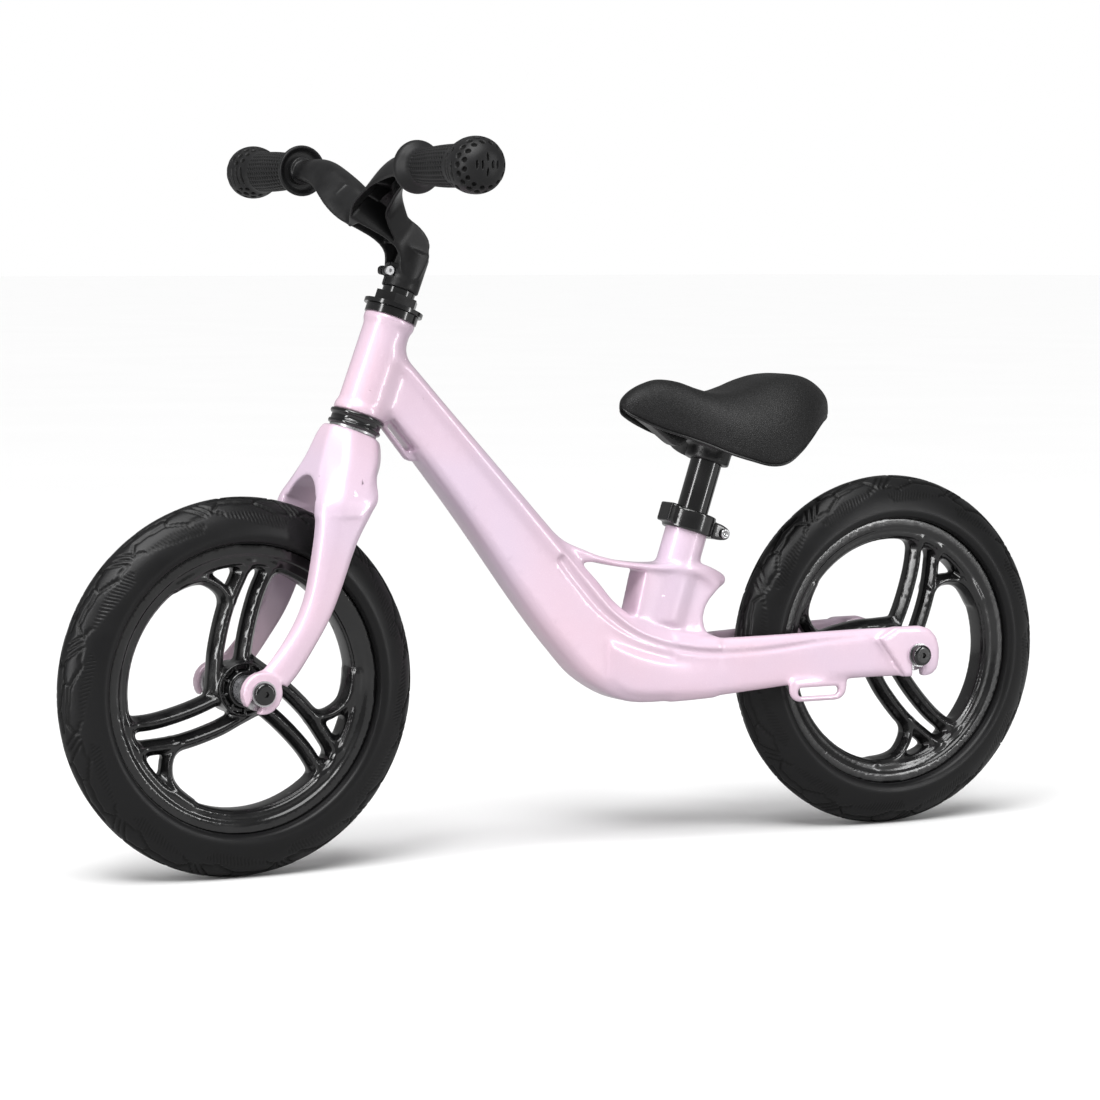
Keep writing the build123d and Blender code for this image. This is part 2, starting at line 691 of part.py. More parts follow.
with BuildPart() as seat_clamp:
    add(clamp_band(seat_tube_radius, -clamp_height, 0))
    add(clamp_band(post_radius + 0.6, 0, 2))
    with BuildSketch(seat_line.offset(3)):
        with Locations((-27.0, 0)):
            Rectangle(24.0, 2.4)
    extrude(amount=-clamp_height - 6, mode=Mode.SUBTRACT)
    with BuildSketch(ear):
        Circle(clamp_bolt_radius)
    extrude(amount=12, both=True, mode=Mode.SUBTRACT)
save(seat_clamp, "seat_clamp")

with BuildPart() as seat_clamp_bolt:
    with BuildSketch(ear):
        Circle(clamp_bolt_radius)
    extrude(amount=9.5, both=True)
    with BuildSketch(ear.offset(7.5)):
        Circle(5.0)
    extrude(amount=4.5)
    with BuildSketch(ear.offset(-7.5)):
        RegularPolygon(5.0, 6)
    extrude(amount=-4.0)
save(seat_clamp_bolt, "seat_clamp_bolt")

# x of the section, half width, top z, side z, bottom z
saddle_form = (
    (-40.0, 4.0, 351.0, 348.0, 345.0),
    (-50.0, 13.0, 358.5, 349.0, 339.0),
    (-72.0, 20.0, 367.0, 349.0, 330.0),
    (-95.0, 26.0, 364.0, 344.0, 321.0),
    (-120.0, 43.0, 358.0, 333.0, 311.0),
    (-145.0, 59.0, 362.0, 326.0, 300.0),
    (-170.0, 64.0, 368.0, 325.0, 303.0),
    (-195.0, 57.0, 369.0, 333.0, 331.0),
    (-215.0, 42.0, 363.0, 343.0, 341.0),
    (-231.0, 20.0, 349.0, 344.0, 341.0),
)


def saddle_section(x, half, top, side, bottom):
    """Ten-sided section across the saddle, its underside raised in the middle."""
    brow = side + (top - side) * 0.62
    inside = bottom + (side - bottom) * 0.5
    return Face(Wire.make_polygon([
        Vector(x, half, bottom), Vector(x, half, side), Vector(x, half * 0.8, brow),
        Vector(x, half * 0.45, top - 0.5), Vector(x, -half * 0.45, top - 0.5),
        Vector(x, -half * 0.8, brow), Vector(x, -half, side), Vector(x, -half, bottom),
        Vector(x, -half * 0.6, inside), Vector(x, half * 0.6, inside),
    ], close=True))


with BuildPart() as saddle:
    loft([saddle_section(*row) for row in saddle_form], ruled=True)
save(saddle, "saddle")

# bracket under the saddle: round collar on the post, block and plate shaped to the underside
with BuildPart() as saddle_bracket:
    with BuildSketch(seat_line.offset(post_top - 9)):
        Circle(bracket_radius)
    extrude(amount=13.0)
    with BuildSketch(seat_line.offset(post_top + 4)):
        RectangleRounded(44.0, 34.0, 8.0)
    extrude(amount=20.0)
    with BuildSketch(seat_line.offset(post_top - 14)):
        Circle(post_radius)
    extrude(amount=14.0, mode=Mode.SUBTRACT)
    add(saddle.part, mode=Mode.SUBTRACT)
save(saddle_bracket, "saddle_bracket")
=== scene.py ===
import bpy
import openvdb
import numpy as np
from mathutils import Euler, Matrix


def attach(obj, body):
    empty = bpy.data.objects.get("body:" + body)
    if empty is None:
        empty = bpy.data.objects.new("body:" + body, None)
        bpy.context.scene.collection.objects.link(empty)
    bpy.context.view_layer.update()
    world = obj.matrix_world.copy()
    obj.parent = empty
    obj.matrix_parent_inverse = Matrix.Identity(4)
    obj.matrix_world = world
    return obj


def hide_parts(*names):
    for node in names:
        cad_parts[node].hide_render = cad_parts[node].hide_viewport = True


# Looks of the balance bike. Shapes are written in millimetres and put into meshes in metres.
# +X points forward, +Y to the rider's left, +Z up; the ground is z = 0.

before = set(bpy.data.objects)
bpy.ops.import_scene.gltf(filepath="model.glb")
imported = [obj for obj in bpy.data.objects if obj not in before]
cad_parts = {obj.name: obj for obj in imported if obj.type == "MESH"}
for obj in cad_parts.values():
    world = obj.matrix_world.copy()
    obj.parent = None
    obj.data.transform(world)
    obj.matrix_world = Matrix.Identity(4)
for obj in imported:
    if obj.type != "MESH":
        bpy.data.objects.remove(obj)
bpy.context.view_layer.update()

MM = 0.001
AXLE_Z = 143.0
FRONT_X = 289.6
REAR_X = -289.6
BAND = 10                      # half width of a distance field, in lattice steps

lean = np.radians(20.4)        # steering axis
STEER_UP = np.array([-np.sin(lean), 0, np.cos(lean)])
STEER_FRONT = np.array([np.cos(lean), 0, np.sin(lean)])
HEAD_LOW = np.array([189.1, 0, 344.8])
tilt = np.radians(18.3)        # seat post
SEAT_UP = np.array([-np.sin(tilt), 0, np.cos(tilt)])
SEAT_FRONT = np.array([np.cos(tilt), 0, np.sin(tilt)])
SEAT_TOP = np.array([-104.4, 0, 260.0])
LEFT = np.array([0, 1.0, 0])


# ---- curves and surfaces -------------------------------------------------
def through(rows, count):
    """Smooth curve through the rows of an array: between two rows it is the cubic whose slope at
    each row is half the step from the row before to the row after (Catmull-Rom)."""
    rows = np.asarray(rows, float)
    t = np.linspace(0, len(rows) - 1, count)
    i = np.clip(t.astype(int), 0, len(rows) - 2)
    f = (t - i).reshape((-1,) + (1,) * (rows.ndim - 1))
    ends = np.concatenate([2 * rows[:1] - rows[1:2], rows, 2 * rows[-1:] - rows[-2:-1]])
    p0, p1, p2, p3 = ends[i], ends[i + 1], ends[i + 2], ends[i + 3]
    return 0.5 * (2 * p1 + (p2 - p0) * f + (2 * p0 - 5 * p1 + 4 * p2 - p3) * f ** 2
                  + (3 * p1 - p0 - 3 * p2 + p3) * f ** 3)


def rounded(corners, radius, steps=5):
    """Closed outline with each corner replaced by a parabola that leaves the edges a given
    distance before the corner, or at 0.48 of a shorter edge."""
    corners = np.asarray(corners, float)
    radius = np.broadcast_to(radius, corners.shape[:-1])[..., None]
    before = np.roll(corners, 1, -2) - corners
    after = np.roll(corners, -1, -2) - corners
    start = corners + before * np.minimum(radius / np.linalg.norm(before, axis=-1, keepdims=True),
                                          0.48)
    end = corners + after * np.minimum(radius / np.linalg.norm(after, axis=-1, keepdims=True), 0.48)
    t = np.linspace(0, 1, steps)[:, None]
    s, c, e = start[..., None, :], corners[..., None, :], end[..., None, :]
    curve = (1 - t) ** 2 * s + 2 * t * (1 - t) * c + t ** 2 * e
    return curve.reshape(corners.shape[:-2] + (-1, corners.shape[-1]))


def halves(quads):
    """Each quad as two triangles about its first corner."""
    return np.concatenate([quads[:, [0, 1, 2]], quads[:, [0, 2, 3]]])


def closed_quads(rows, ring):
    """Quads of a grid closed both ways: each row is a closed ring, the last meets the first."""
    a = np.arange(rows * ring).reshape(rows, ring)
    b = np.roll(a, -1, 0)
    return np.stack([a, np.roll(a, -1, 1), np.roll(b, -1, 1), b], -1).reshape(-1, 4)


def skin(grid):
    """Closed surface from a grid of points: rows run along the piece, each row is a closed ring,
    and both ends are closed by fans about the middle of the end ring. Returns points, triangles."""
    rows, ring = grid.shape[:2]
    index = np.arange(rows * ring).reshape(rows, ring)
    a, b = index[:-1], index[1:]
    quads = np.stack([a, np.roll(a, -1, 1), np.roll(b, -1, 1), b], -1).reshape(-1, 4)
    triangles = halves(quads)
    low, high = rows * ring, rows * ring + 1
    first, last = index[0], index[-1]
    fans = np.concatenate([
        np.stack([np.roll(first, -1), first, np.full(ring, low)], -1),
        np.stack([last, np.roll(last, -1), np.full(ring, high)], -1)])
    points = np.concatenate([grid.reshape(-1, 3), grid[:1].mean(1), grid[-1:].mean(1)])
    return points, np.concatenate([triangles, fans])


def rod(path, radius, count=60, around=20):
    """Round rod along a smooth path through points; its radius follows the listed radii, and
    drops to nothing at both ends along a quarter circle."""
    line = through(path, count)
    size = through(np.broadcast_to(radius, len(path)).reshape(-1, 1), count)[:, 0]
    along = np.gradient(line, axis=0)
    along /= np.linalg.norm(along, axis=1, keepdims=True)
    side = np.cross(along, LEFT + 0.01 * STEER_UP)
    side /= np.linalg.norm(side, axis=1, keepdims=True)
    other = np.cross(along, side)
    run = np.concatenate([[0], np.cumsum(np.linalg.norm(np.diff(line, axis=0), axis=1))])
    reach = np.minimum(np.minimum(run, run[-1] - run) / size, 1)
    size = size * np.sqrt(np.maximum(1 - (1 - reach) ** 2, 0.02))
    angle = np.linspace(0, 2 * np.pi, around, endpoint=False)[None, :, None]
    return skin(line[:, None] + size[:, None, None] * (np.cos(angle) * side[:, None]
                                                       + np.sin(angle) * other[:, None]))


# ---- distance fields: castings are surfaces melted together --------------
class Field:
    """Signed distances on a lattice, in millimetres, negative inside the casting."""

    THRIFT = 0.006             # how far flat parts are thinned when meshed; 0 keeps every quad

    def __init__(self, low, high, step):
        self.step = step
        self.low = np.floor(np.array(low) / step).astype(int)
        self.shape = tuple(np.ceil(np.array(high) / step).astype(int) - self.low + 1)
        self.far = BAND * step
        self.values = np.full(self.shape, self.far, np.float32)
        self.transform = openvdb.createLinearTransform(voxelSize=step)
        axes = [(self.low[k] + np.arange(self.shape[k])) * step for k in range(3)]
        self.x, self.y, self.z = np.meshgrid(*axes, indexing="ij", sparse=True)

    def of_surface(self, surface):
        """Distance to a closed surface given as points and triangles."""
        points, triangles = surface
        grid = openvdb.FloatGrid.createLevelSetFromPolygons(
            points.astype(np.float32), triangles=triangles.astype(np.uint32),
            transform=self.transform, halfWidth=float(BAND))
        values = np.empty(self.shape, np.float32)
        grid.copyToArray(values, ijk=tuple(int(i) for i in self.low))
        return values

    def of_cylinder(self, point, up, radius, low, high):
        """Distance to a cylinder: the greater of the distance beyond its radius and beyond
        its ends."""
        dx, dy, dz = self.x - point[0], self.y - point[1], self.z - point[2]
        height = dx * up[0] + dy * up[1] + dz * up[2]
        away = np.sqrt(np.maximum(dx ** 2 + dy ** 2 + dz ** 2 - height ** 2, 0))
        return self.clip(np.maximum(away - radius, np.maximum(low - height, height - high)))

    def of_plate(self, outline, low, high, across="y"):
        """Distance to a plate: an outline in the plane across an axis, between two places on it."""
        a, b, c = {"y": (self.x, self.z, self.y), "x": (self.y, self.z, self.x)}[across]
        a, b = np.broadcast_arrays(a, b)
        flat = outline_distance(a.squeeze(), b.squeeze(), np.asarray(outline, float))
        return self.clip(np.maximum(flat.reshape(a.shape), np.maximum(low - c, c - high)))

    def clip(self, values):
        """Distances over the whole lattice, held to the width of its band."""
        return np.clip(np.broadcast_to(values, self.shape), -self.far, self.far).astype(np.float32)

    def add(self, other, melt=0.01):
        """Union: the lesser distance, lowered by a parabola where the two are within melt."""
        near = np.maximum(melt - np.abs(self.values - other), 0) / melt
        self.values = np.minimum(self.values, other) - near ** 2 * melt / 4

    def cut(self, other, melt=0.01):
        """Difference: the greater of the distance and the cutter's negative, rounded within
        melt."""
        near = np.maximum(melt - np.abs(self.values + other), 0) / melt
        self.values = np.maximum(self.values, -other) + near ** 2 * melt / 4

    def soften(self, passes):
        """Rounds every edge: each pass averages a point with its neighbours, weights 1, 2, 1."""
        for _ in range(passes):
            for axis in range(3):
                v = np.moveaxis(self.values, axis, 0)
                v[1:-1] = (v[:-2] + 2 * v[1:-1] + v[2:]) / 4

    def surface(self):
        """Points and triangles where the distance is nothing, fewer of them where it is flat."""
        grid = openvdb.FloatGrid(self.far)
        grid.copyFromArray(self.values, ijk=tuple(int(i) for i in self.low))
        grid.transform = self.transform
        points, triangles, quads = grid.convertToPolygons(isovalue=0.0, adaptivity=self.THRIFT)
        quads = np.asarray(quads, int).reshape(-1, 4)
        triangles = np.asarray(triangles, int).reshape(-1, 3)
        return np.asarray(points, float), np.concatenate([triangles, halves(quads)])


def outline_distance(a, b, corners):
    """Signed distance in a plane to a closed outline: the least distance to any edge, negative
    where a ray to one side crosses an odd number of edges."""
    p, q = corners, np.roll(corners, -1, 0)
    a, b = a[..., None], b[..., None]
    ex, ez = (q - p).T
    wx, wz = a - p[:, 0], b - p[:, 1]
    share = np.clip((wx * ex + wz * ez) / (ex ** 2 + ez ** 2), 0, 1)
    away = np.sqrt(((wx - ex * share) ** 2 + (wz - ez * share) ** 2).min(-1))
    straddles = (p[:, 1] > b) != (q[:, 1] > b)
    crossing = p[:, 0] + (b - p[:, 1]) * ex / np.where(ez == 0, 1e-9, ez)
    inside = (straddles & (a < crossing)).sum(-1) % 2 == 1
    return np.where(inside, -away, away)


# ---- pieces --------------------------------------------------------------
def outward(points, faces):
    """Faces turned to point outwards: reversed where the enclosed volume comes out negative."""
    a, b, c = points[faces[:, 0]], points[faces[:, 1]], points[faces[:, 2]]
    volume = np.einsum("ij,ij->i", a, np.cross(b, c)).sum()
    if faces.shape[1] == 4:
        d = points[faces[:, 3]]
        volume += np.einsum("ij,ij->i", a, np.cross(c, d)).sum()
    return faces if volume > 0 else faces[:, ::-1]


def piece(name, points, faces, material, body, slot, nodes):
    """Mesh object with its place in its vertices, riding on a body in place of CAD nodes."""
    mesh = bpy.data.meshes.new(name)
    faces = outward(points, faces)
    count, sides = faces.shape
    mesh.vertices.add(len(points))
    mesh.vertices.foreach_set("co", (points * MM).astype(np.float32).ravel())
    mesh.loops.add(count * sides)
    mesh.loops.foreach_set("vertex_index", faces.astype(np.int32).ravel())
    mesh.polygons.add(count)
    mesh.polygons.foreach_set("loop_start", np.arange(0, count * sides, sides, dtype=np.int32))
    mesh.polygons.foreach_set("use_smooth", np.ones(count, bool))
    mesh.update(calc_edges=True)
    mesh.validate()
    mesh.materials.append(material)
    obj = bpy.data.objects.new(name, mesh)
    bpy.context.scene.collection.objects.link(obj)
    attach(obj, body)
    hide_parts(*nodes)
    return obj


def attribute(obj, name, values):
    """Writes one number per point for a material to read."""
    layer = obj.data.attributes.new(name, "FLOAT", "POINT")
    layer.data.foreach_set("value", np.asarray(values, np.float32).ravel())


# ---- finishes ------------------------------------------------------------
def finish_named(name, colour, roughness, metallic=0.0, coat=0.0, coat_roughness=0.05, glint=0.5):
    """New material with its shader and its Object coordinates."""
    material = bpy.data.materials.new(name)
    material.use_nodes = True
    nodes = material.node_tree.nodes
    shader = nodes["Principled BSDF"]
    shader.inputs["Base Color"].default_value = (*colour, 1)
    shader.inputs["Roughness"].default_value = roughness
    shader.inputs["Metallic"].default_value = metallic
    shader.inputs["Specular IOR Level"].default_value = glint
    shader.inputs["Coat Weight"].default_value = coat
    shader.inputs["Coat Roughness"].default_value = coat_roughness
    place = nodes.new("ShaderNodeTexCoord").outputs["Object"]
    return material, shader, place


def noise(material, place, scale, detail=3.0, roughness=0.5, stretch=(1, 1, 1)):
    """Noise on a place, its scale in ripples per metre along each axis."""
    nodes, links = material.node_tree.nodes, material.node_tree.links
    mapping = nodes.new("ShaderNodeMapping")
    mapping.inputs["Scale"].default_value = [s * scale for s in stretch]
    links.new(place, mapping.inputs["Vector"])
    texture = nodes.new("ShaderNodeTexNoise")
    texture.inputs["Scale"].default_value = 1.0
    texture.inputs["Detail"].default_value = detail
    texture.inputs["Roughness"].default_value = roughness
    links.new(mapping.outputs["Vector"], texture.inputs["Vector"])
    return texture.outputs["Fac"]


def spread(material, value, low, high, to_low, to_high):
    """Value carried in a straight line from one range to another, held at its ends."""
    nodes, links = material.node_tree.nodes, material.node_tree.links
    node = nodes.new("ShaderNodeMapRange")
    for name, number in (("From Min", low), ("From Max", high), ("To Min", to_low), ("To Max",
                                                                                     to_high)):
        node.inputs[name].default_value = number
    links.new(value, node.inputs["Value"])
    return node.outputs["Result"]


def between(material, share, first, second):
    """Colour mixed from two by a share."""
    nodes, links = material.node_tree.nodes, material.node_tree.links
    node = nodes.new("ShaderNodeMix")
    node.data_type = "RGBA"
    node.inputs["A"].default_value = (*first, 1)
    node.inputs["B"].default_value = (*second, 1)
    links.new(share, node.inputs["Factor"])
    return node.outputs["Result"]


def sums(material, operation, first, second):
    """Two numbers put together by an operation."""
    nodes, links = material.node_tree.nodes, material.node_tree.links
    node = nodes.new("ShaderNodeMath")
    node.operation = operation
    for socket, value in zip(node.inputs, (first, second)):
        if isinstance(value, (int, float)):
            socket.default_value = value
        else:
            links.new(value, socket)
    return node.outputs[0]


def relief(material, shader, height, distance, strength=1.0):
    """Bump from a height between nought and one, as deep as a distance in millimetres."""
    nodes, links = material.node_tree.nodes, material.node_tree.links
    node = nodes.new("ShaderNodeBump")
    node.inputs["Distance"].default_value = distance * MM
    node.inputs["Strength"].default_value = strength
    links.new(height, node.inputs["Height"])
    links.new(node.outputs["Normal"], shader.inputs["Normal"])


def read(material, name):
    """A number written on the piece's points."""
    node = material.node_tree.nodes.new("ShaderNodeAttribute")
    node.attribute_name = name
    return node.outputs["Fac"]


def pearl_paint():
    """Pink pearl: a pale base whose tint drifts towards lilac in soft clouds, fine bright flake,
    and a clear coat with faint orange peel."""
    m, shader, place = finish_named("pearl_pink_paint", (0.80, 0.60, 0.71), 0.34, 0.12, 0.55, 0.08)
    links = m.node_tree.links
    cloud = noise(m, place, 9, 2)
    flake = noise(m, place, 2600, 1)
    tint = between(m, spread(m, cloud, 0.35, 0.65, 0, 1), (0.75, 0.55, 0.655), (0.705, 0.56, 0.69))
    bright = m.node_tree.nodes.new("ShaderNodeMix")
    bright.data_type = "RGBA"
    bright.inputs["B"].default_value = (0.93, 0.80, 0.88, 1)
    links.new(tint, bright.inputs["A"])
    links.new(spread(m, flake, 0.55, 0.75, 0, 0.35), bright.inputs["Factor"])
    links.new(bright.outputs["Result"], shader.inputs["Base Color"])
    links.new(spread(m, flake, 0.4, 0.6, 0.30, 0.38), shader.inputs["Roughness"])
    relief(m, shader, noise(m, place, 420, 2), 0.03, 0.5)
    return m


def black_finish(name, colour, roughness, grain, depth, coat=0.0, worn=0.006, glint=0.5):
    """Black finish: fine grain of a given size and depth, and roughness that varies in patches."""
    m, shader, place = finish_named(name, colour, roughness, 0.0, coat, 0.12, glint)
    links = m.node_tree.links
    patch = noise(m, place, 55, 4)
    tone = between(m, spread(m, patch, 0.4, 0.75, 0, 1), colour, [c + worn for c in colour])
    links.new(tone, shader.inputs["Base Color"])
    links.new(spread(m, patch, 0.3, 0.7, roughness - 0.05, roughness + 0.08),
              shader.inputs["Roughness"])
    relief(m, shader, noise(m, place, 1000 / grain, 2), depth)
    return m


def tyre_foam():
    """Satin foam: fine skin, and rows of slanted cuts that the tyre's own attributes place; the base colour
    is painted darker down in the cuts as painted shade.
    """
    m, shader, place = finish_named("tyre_foam", (0.006, 0.006, 0.0063), 0.36, glint=0.25)
    links = m.node_tree.links
    cuts = read(m, "cuts")
    skin_grain = noise(m, place, 900, 2)
    # painted shade: the base colour goes darker with the depth of the tread cuts
    tone = between(m, cuts, (0.007, 0.007, 0.0074), (0.002, 0.002, 0.002))
    links.new(tone, shader.inputs["Base Color"])
    patch = noise(m, place, 40, 4)
    links.new(spread(m, patch, 0.3, 0.7, 0.32, 0.42), shader.inputs["Roughness"])
    relief(m, shader, skin_grain, 0.05)
    return m


def bright_metal(name, colour, roughness):
    """Zinc plated or ground steel: fine scratches across the bike and cloudy roughness."""
    m, shader, place = finish_named(name, colour, roughness, 1.0)
    links = m.node_tree.links
    scratches = noise(m, place, 1500, 2, stretch=(1, 0.06, 1))
    links.new(spread(m, scratches, 0.3, 0.7, roughness - 0.07, roughness + 0.12),
              shader.inputs["Roughness"])
    links.new(between(m, noise(m, place, 120, 3), colour, [c * 0.8 for c in colour]),
              shader.inputs["Base Color"])
    relief(m, shader, scratches, 0.01)
    return m


def pebbled_leather():
    """Synthetic leather: rounded pebbles about a millimetre across, with the valleys between them painted
    darker as painted shade.
    """
    m, shader, place = finish_named("pebbled_leather", (0.008, 0.008, 0.0085), 0.40, glint=0.3)
    nodes, links = m.node_tree.nodes, m.node_tree.links
    warp = noise(m, place, 300, 2)
    cells = nodes.new("ShaderNodeTexVoronoi")
    cells.feature = "DISTANCE_TO_EDGE"
    cells.inputs["Scale"].default_value = 780
    links.new(place, cells.inputs["Vector"])
    pebble = spread(m, cells.outputs["Distance"], 0.0, 0.28, 0, 1)
    # painted shade: the base colour is darker in the valleys between the pebbles
    links.new(between(m, pebble, (0.002, 0.002, 0.002), (0.010, 0.010, 0.0105)),
              shader.inputs["Base Color"])
    links.new(spread(m, sums(m, "ADD", pebble, warp), 0.4, 1.7, 0.58, 0.36),
              shader.inputs["Roughness"])
    relief(m, shader, sums(m, "ADD", pebble, sums(m, "MULTIPLY", warp, 0.4)), 0.16, 0.8)
    return m


def dimpled_rubber():
    """Matt rubber, with painted shade making it darker at the bottom of its dimples."""
    m, shader, place = finish_named("grip_rubber", (0.008, 0.008, 0.0085), 0.44, glint=0.3)
    links = m.node_tree.links
    # painted shade: the base colour goes darker with the depth of each dimple
    links.new(between(m, read(m, "dimples"), (0.009, 0.009, 0.0095), (0.001, 0.001, 0.001)),
              shader.inputs["Base Color"])
    links.new(spread(m, read(m, "dimples"), 0.2, 0.8, 0.44, 0.85), shader.inputs["Roughness"])
    relief(m, shader, noise(m, place, 2000, 2), 0.05)
    return m


PEARL = pearl_paint()
FOAM = tyre_foam()
RIM_PLASTIC = black_finish("rim_plastic", (0.004, 0.004, 0.0043), 0.17, 1.6, 0.03, 0.3)
BAR_CASTING = black_finish("bar_casting", (0.006, 0.006, 0.0064), 0.34, 0.5, 0.04, glint=0.32)
GRIP_RUBBER = dimpled_rubber()
SADDLE_PLASTIC = black_finish("saddle_plastic", (0.006, 0.006, 0.0064), 0.30, 0.8, 0.05)
BLACK_STEEL = black_finish("black_steel", (0.004, 0.004, 0.0043), 0.14, 2.2, 0.02, 0.5)
BRIGHT_STEEL = bright_metal("bright_steel", (0.62, 0.62, 0.63), 0.30)
BEARING_STEEL = bright_metal("bearing_steel", (0.50, 0.50, 0.52), 0.22)
LEATHER = pebbled_leather()


# ---- cast frame ----------------------------------------------------------
def section_row(high, low, outline):
    """Ring across the bike between two (x, z) points; the outline is (y, share from high to low)."""
    y, share = np.asarray(outline, float).T
    high, low = np.asarray(high, float), np.asarray(low, float)
    xz = high + (low - high) * share[:, None]
    return np.stack([xz[:, 0], y, xz[:, 1]], -1)


def spine_ring(top, side, bottom):
    """Down tube: narrow top, a rib at each upper side, a shallow recess below it, rounded belly."""
    half = [(top, 0), (side, 0.13), (side, 0.22), (side - 1.6, 0.30), (side - 1.1, 0.78),
            (side - 0.6, 0.9), (bottom, 1)]
    return half + [(-y, s) for y, s in half[::-1]]


def stay_ring(inner, outer, hand):
    """Chainstay: outer side with an upper slope, inner side upright."""
    return [(hand * inner, 0.03), (hand * (outer - 4), 0), (hand * outer, 0.17),
            (hand * outer, 0.88), (hand * (outer - 3.5), 1), (hand * inner, 0.97)]


# lattice of the frame's distance field: low corner, high corner, step
FRAME_ROOM = ((-318, -56, 104), (216, 56, 428), 1.25)
# upper edge, lower edge, half widths of top, side and bottom
SPINE = (
    ((170.0, 404.0), (186.0, 350.0), 8.0, 13.0, 8.0),
    ((152.0, 388.0), (168.0, 341.0), 8.0, 15.5, 10.0),
    ((115.0, 348.0), (142.0, 311.0), 8.5, 17.0, 11.0),
    ((72.0, 302.0), (102.0, 260.5), 9.0, 17.5, 11.0),
    ((17.0, 243.0), (52.0, 194.0), 9.5, 18.5, 12.0),
    ((-12.0, 213.0), (20.0, 155.5), 11.0, 20.0, 13.0),
    ((-30.0, 193.0), (-5.0, 131.5), 12.0, 21.0, 15.0),
    ((-55.0, 176.5), (-40.0, 115.0), 14.0, 22.0, 17.0),
    ((-90.0, 165.0), (-85.0, 114.0), 17.0, 24.0, 20.0),
    ((-116.0, 163.4), (-114.0, 115.5), 20.0, 26.6, 22.0),
)
# upper edge, lower edge, inner and outer face
CHAINSTAY = (
    ((-80.0, 166.5), (-76.0, 114.0), 6.0, 23.2),
    ((-112.0, 163.0), (-110.0, 115.5), 12.0, 26.6),
    ((-149.0, 163.4), (-149.0, 119.0), 19.5, 32.0),
    ((-176.0, 164.4), (-176.0, 121.6), 26.0, 36.0),
    ((-209.0, 165.2), (-209.0, 124.2), 29.5, 40.2),
    ((-250.0, 166.2), (-250.0, 125.4), 35.0, 44.8),
    ((-274.0, 166.4), (-274.0, 125.4), 41.0, 48.6),
)
# raised panel on the outer side of the bend: upper edge, lower edge, inner and outer face
PANEL = (
    ((-18.0, 168.0), (-18.0, 131.0), 8.0, 21.6),
    ((-40.0, 158.5), (-38.0, 120.0), 10.0, 23.8),
    ((-70.0, 149.5), (-68.0, 117.5), 12.0, 25.2),
    ((-100.0, 145.5), (-99.0, 117.5), 14.0, 26.6),
    ((-132.0, 144.0), (-132.0, 119.0), 18.0, 29.2),
)
# top stay and tail: x, top z, bottom z, half width
TOP_STAY = (
    (26.0, 249.0, 226.0, 9.5), (10.0, 240.5, 226.0, 11.5), (-8.0, 233.0, 226.2, 13.5),
    (-17.0, 229.8, 224.8, 14.2), (-34.0, 225.8, 221.2, 15.2), (-62.0, 222.2, 217.6, 16.8),
    (-88.0, 221.6, 215.0, 18.0), (-106.0, 220.6, 210.0, 17.2), (-121.0, 215.6, 201.0, 13.5),
    (-131.5, 210.4, 204.0, 9.5),
)
# groove between the two ribs of the upper side: point and radius
GROOVE = (
    ((25.0, 19.6, 233.0), 4.8), ((6.0, 21.0, 209.0), 4.8), ((-18.0, 22.0, 184.0), 4.4),
    ((-50.0, 23.6, 164.5), 3.6), ((-97.0, 26.6, 152.6), 3.0), ((-149.0, 33.4, 151.4), 2.8),
    ((-210.0, 41.4, 157.8), 2.6), ((-246.0, 45.6, 160.4), 2.2),
)


def plates(field, outline, low, high, melt, cut=False):
    """The same plate on both sides of the bike."""
    for a, b in ((low, high), (-high, -low)):
        (field.cut if cut else field.add)(field.of_plate(outline, a, b), melt)


def lozenge(centre, length, width, angle, steps=9):
    """Slot outline: two half circles joined by straight sides, turned in its plane."""
    half = np.linspace(-np.pi / 2, np.pi / 2, steps)
    reach = (length - width) / 2
    right = np.stack([reach + width / 2 * np.cos(half), width / 2 * np.sin(half)], -1)
    ring = np.concatenate([right, -right])
    c, s = np.cos(np.radians(angle)), np.sin(np.radians(angle))
    return ring @ np.array([[c, s], [-s, c]]) + centre


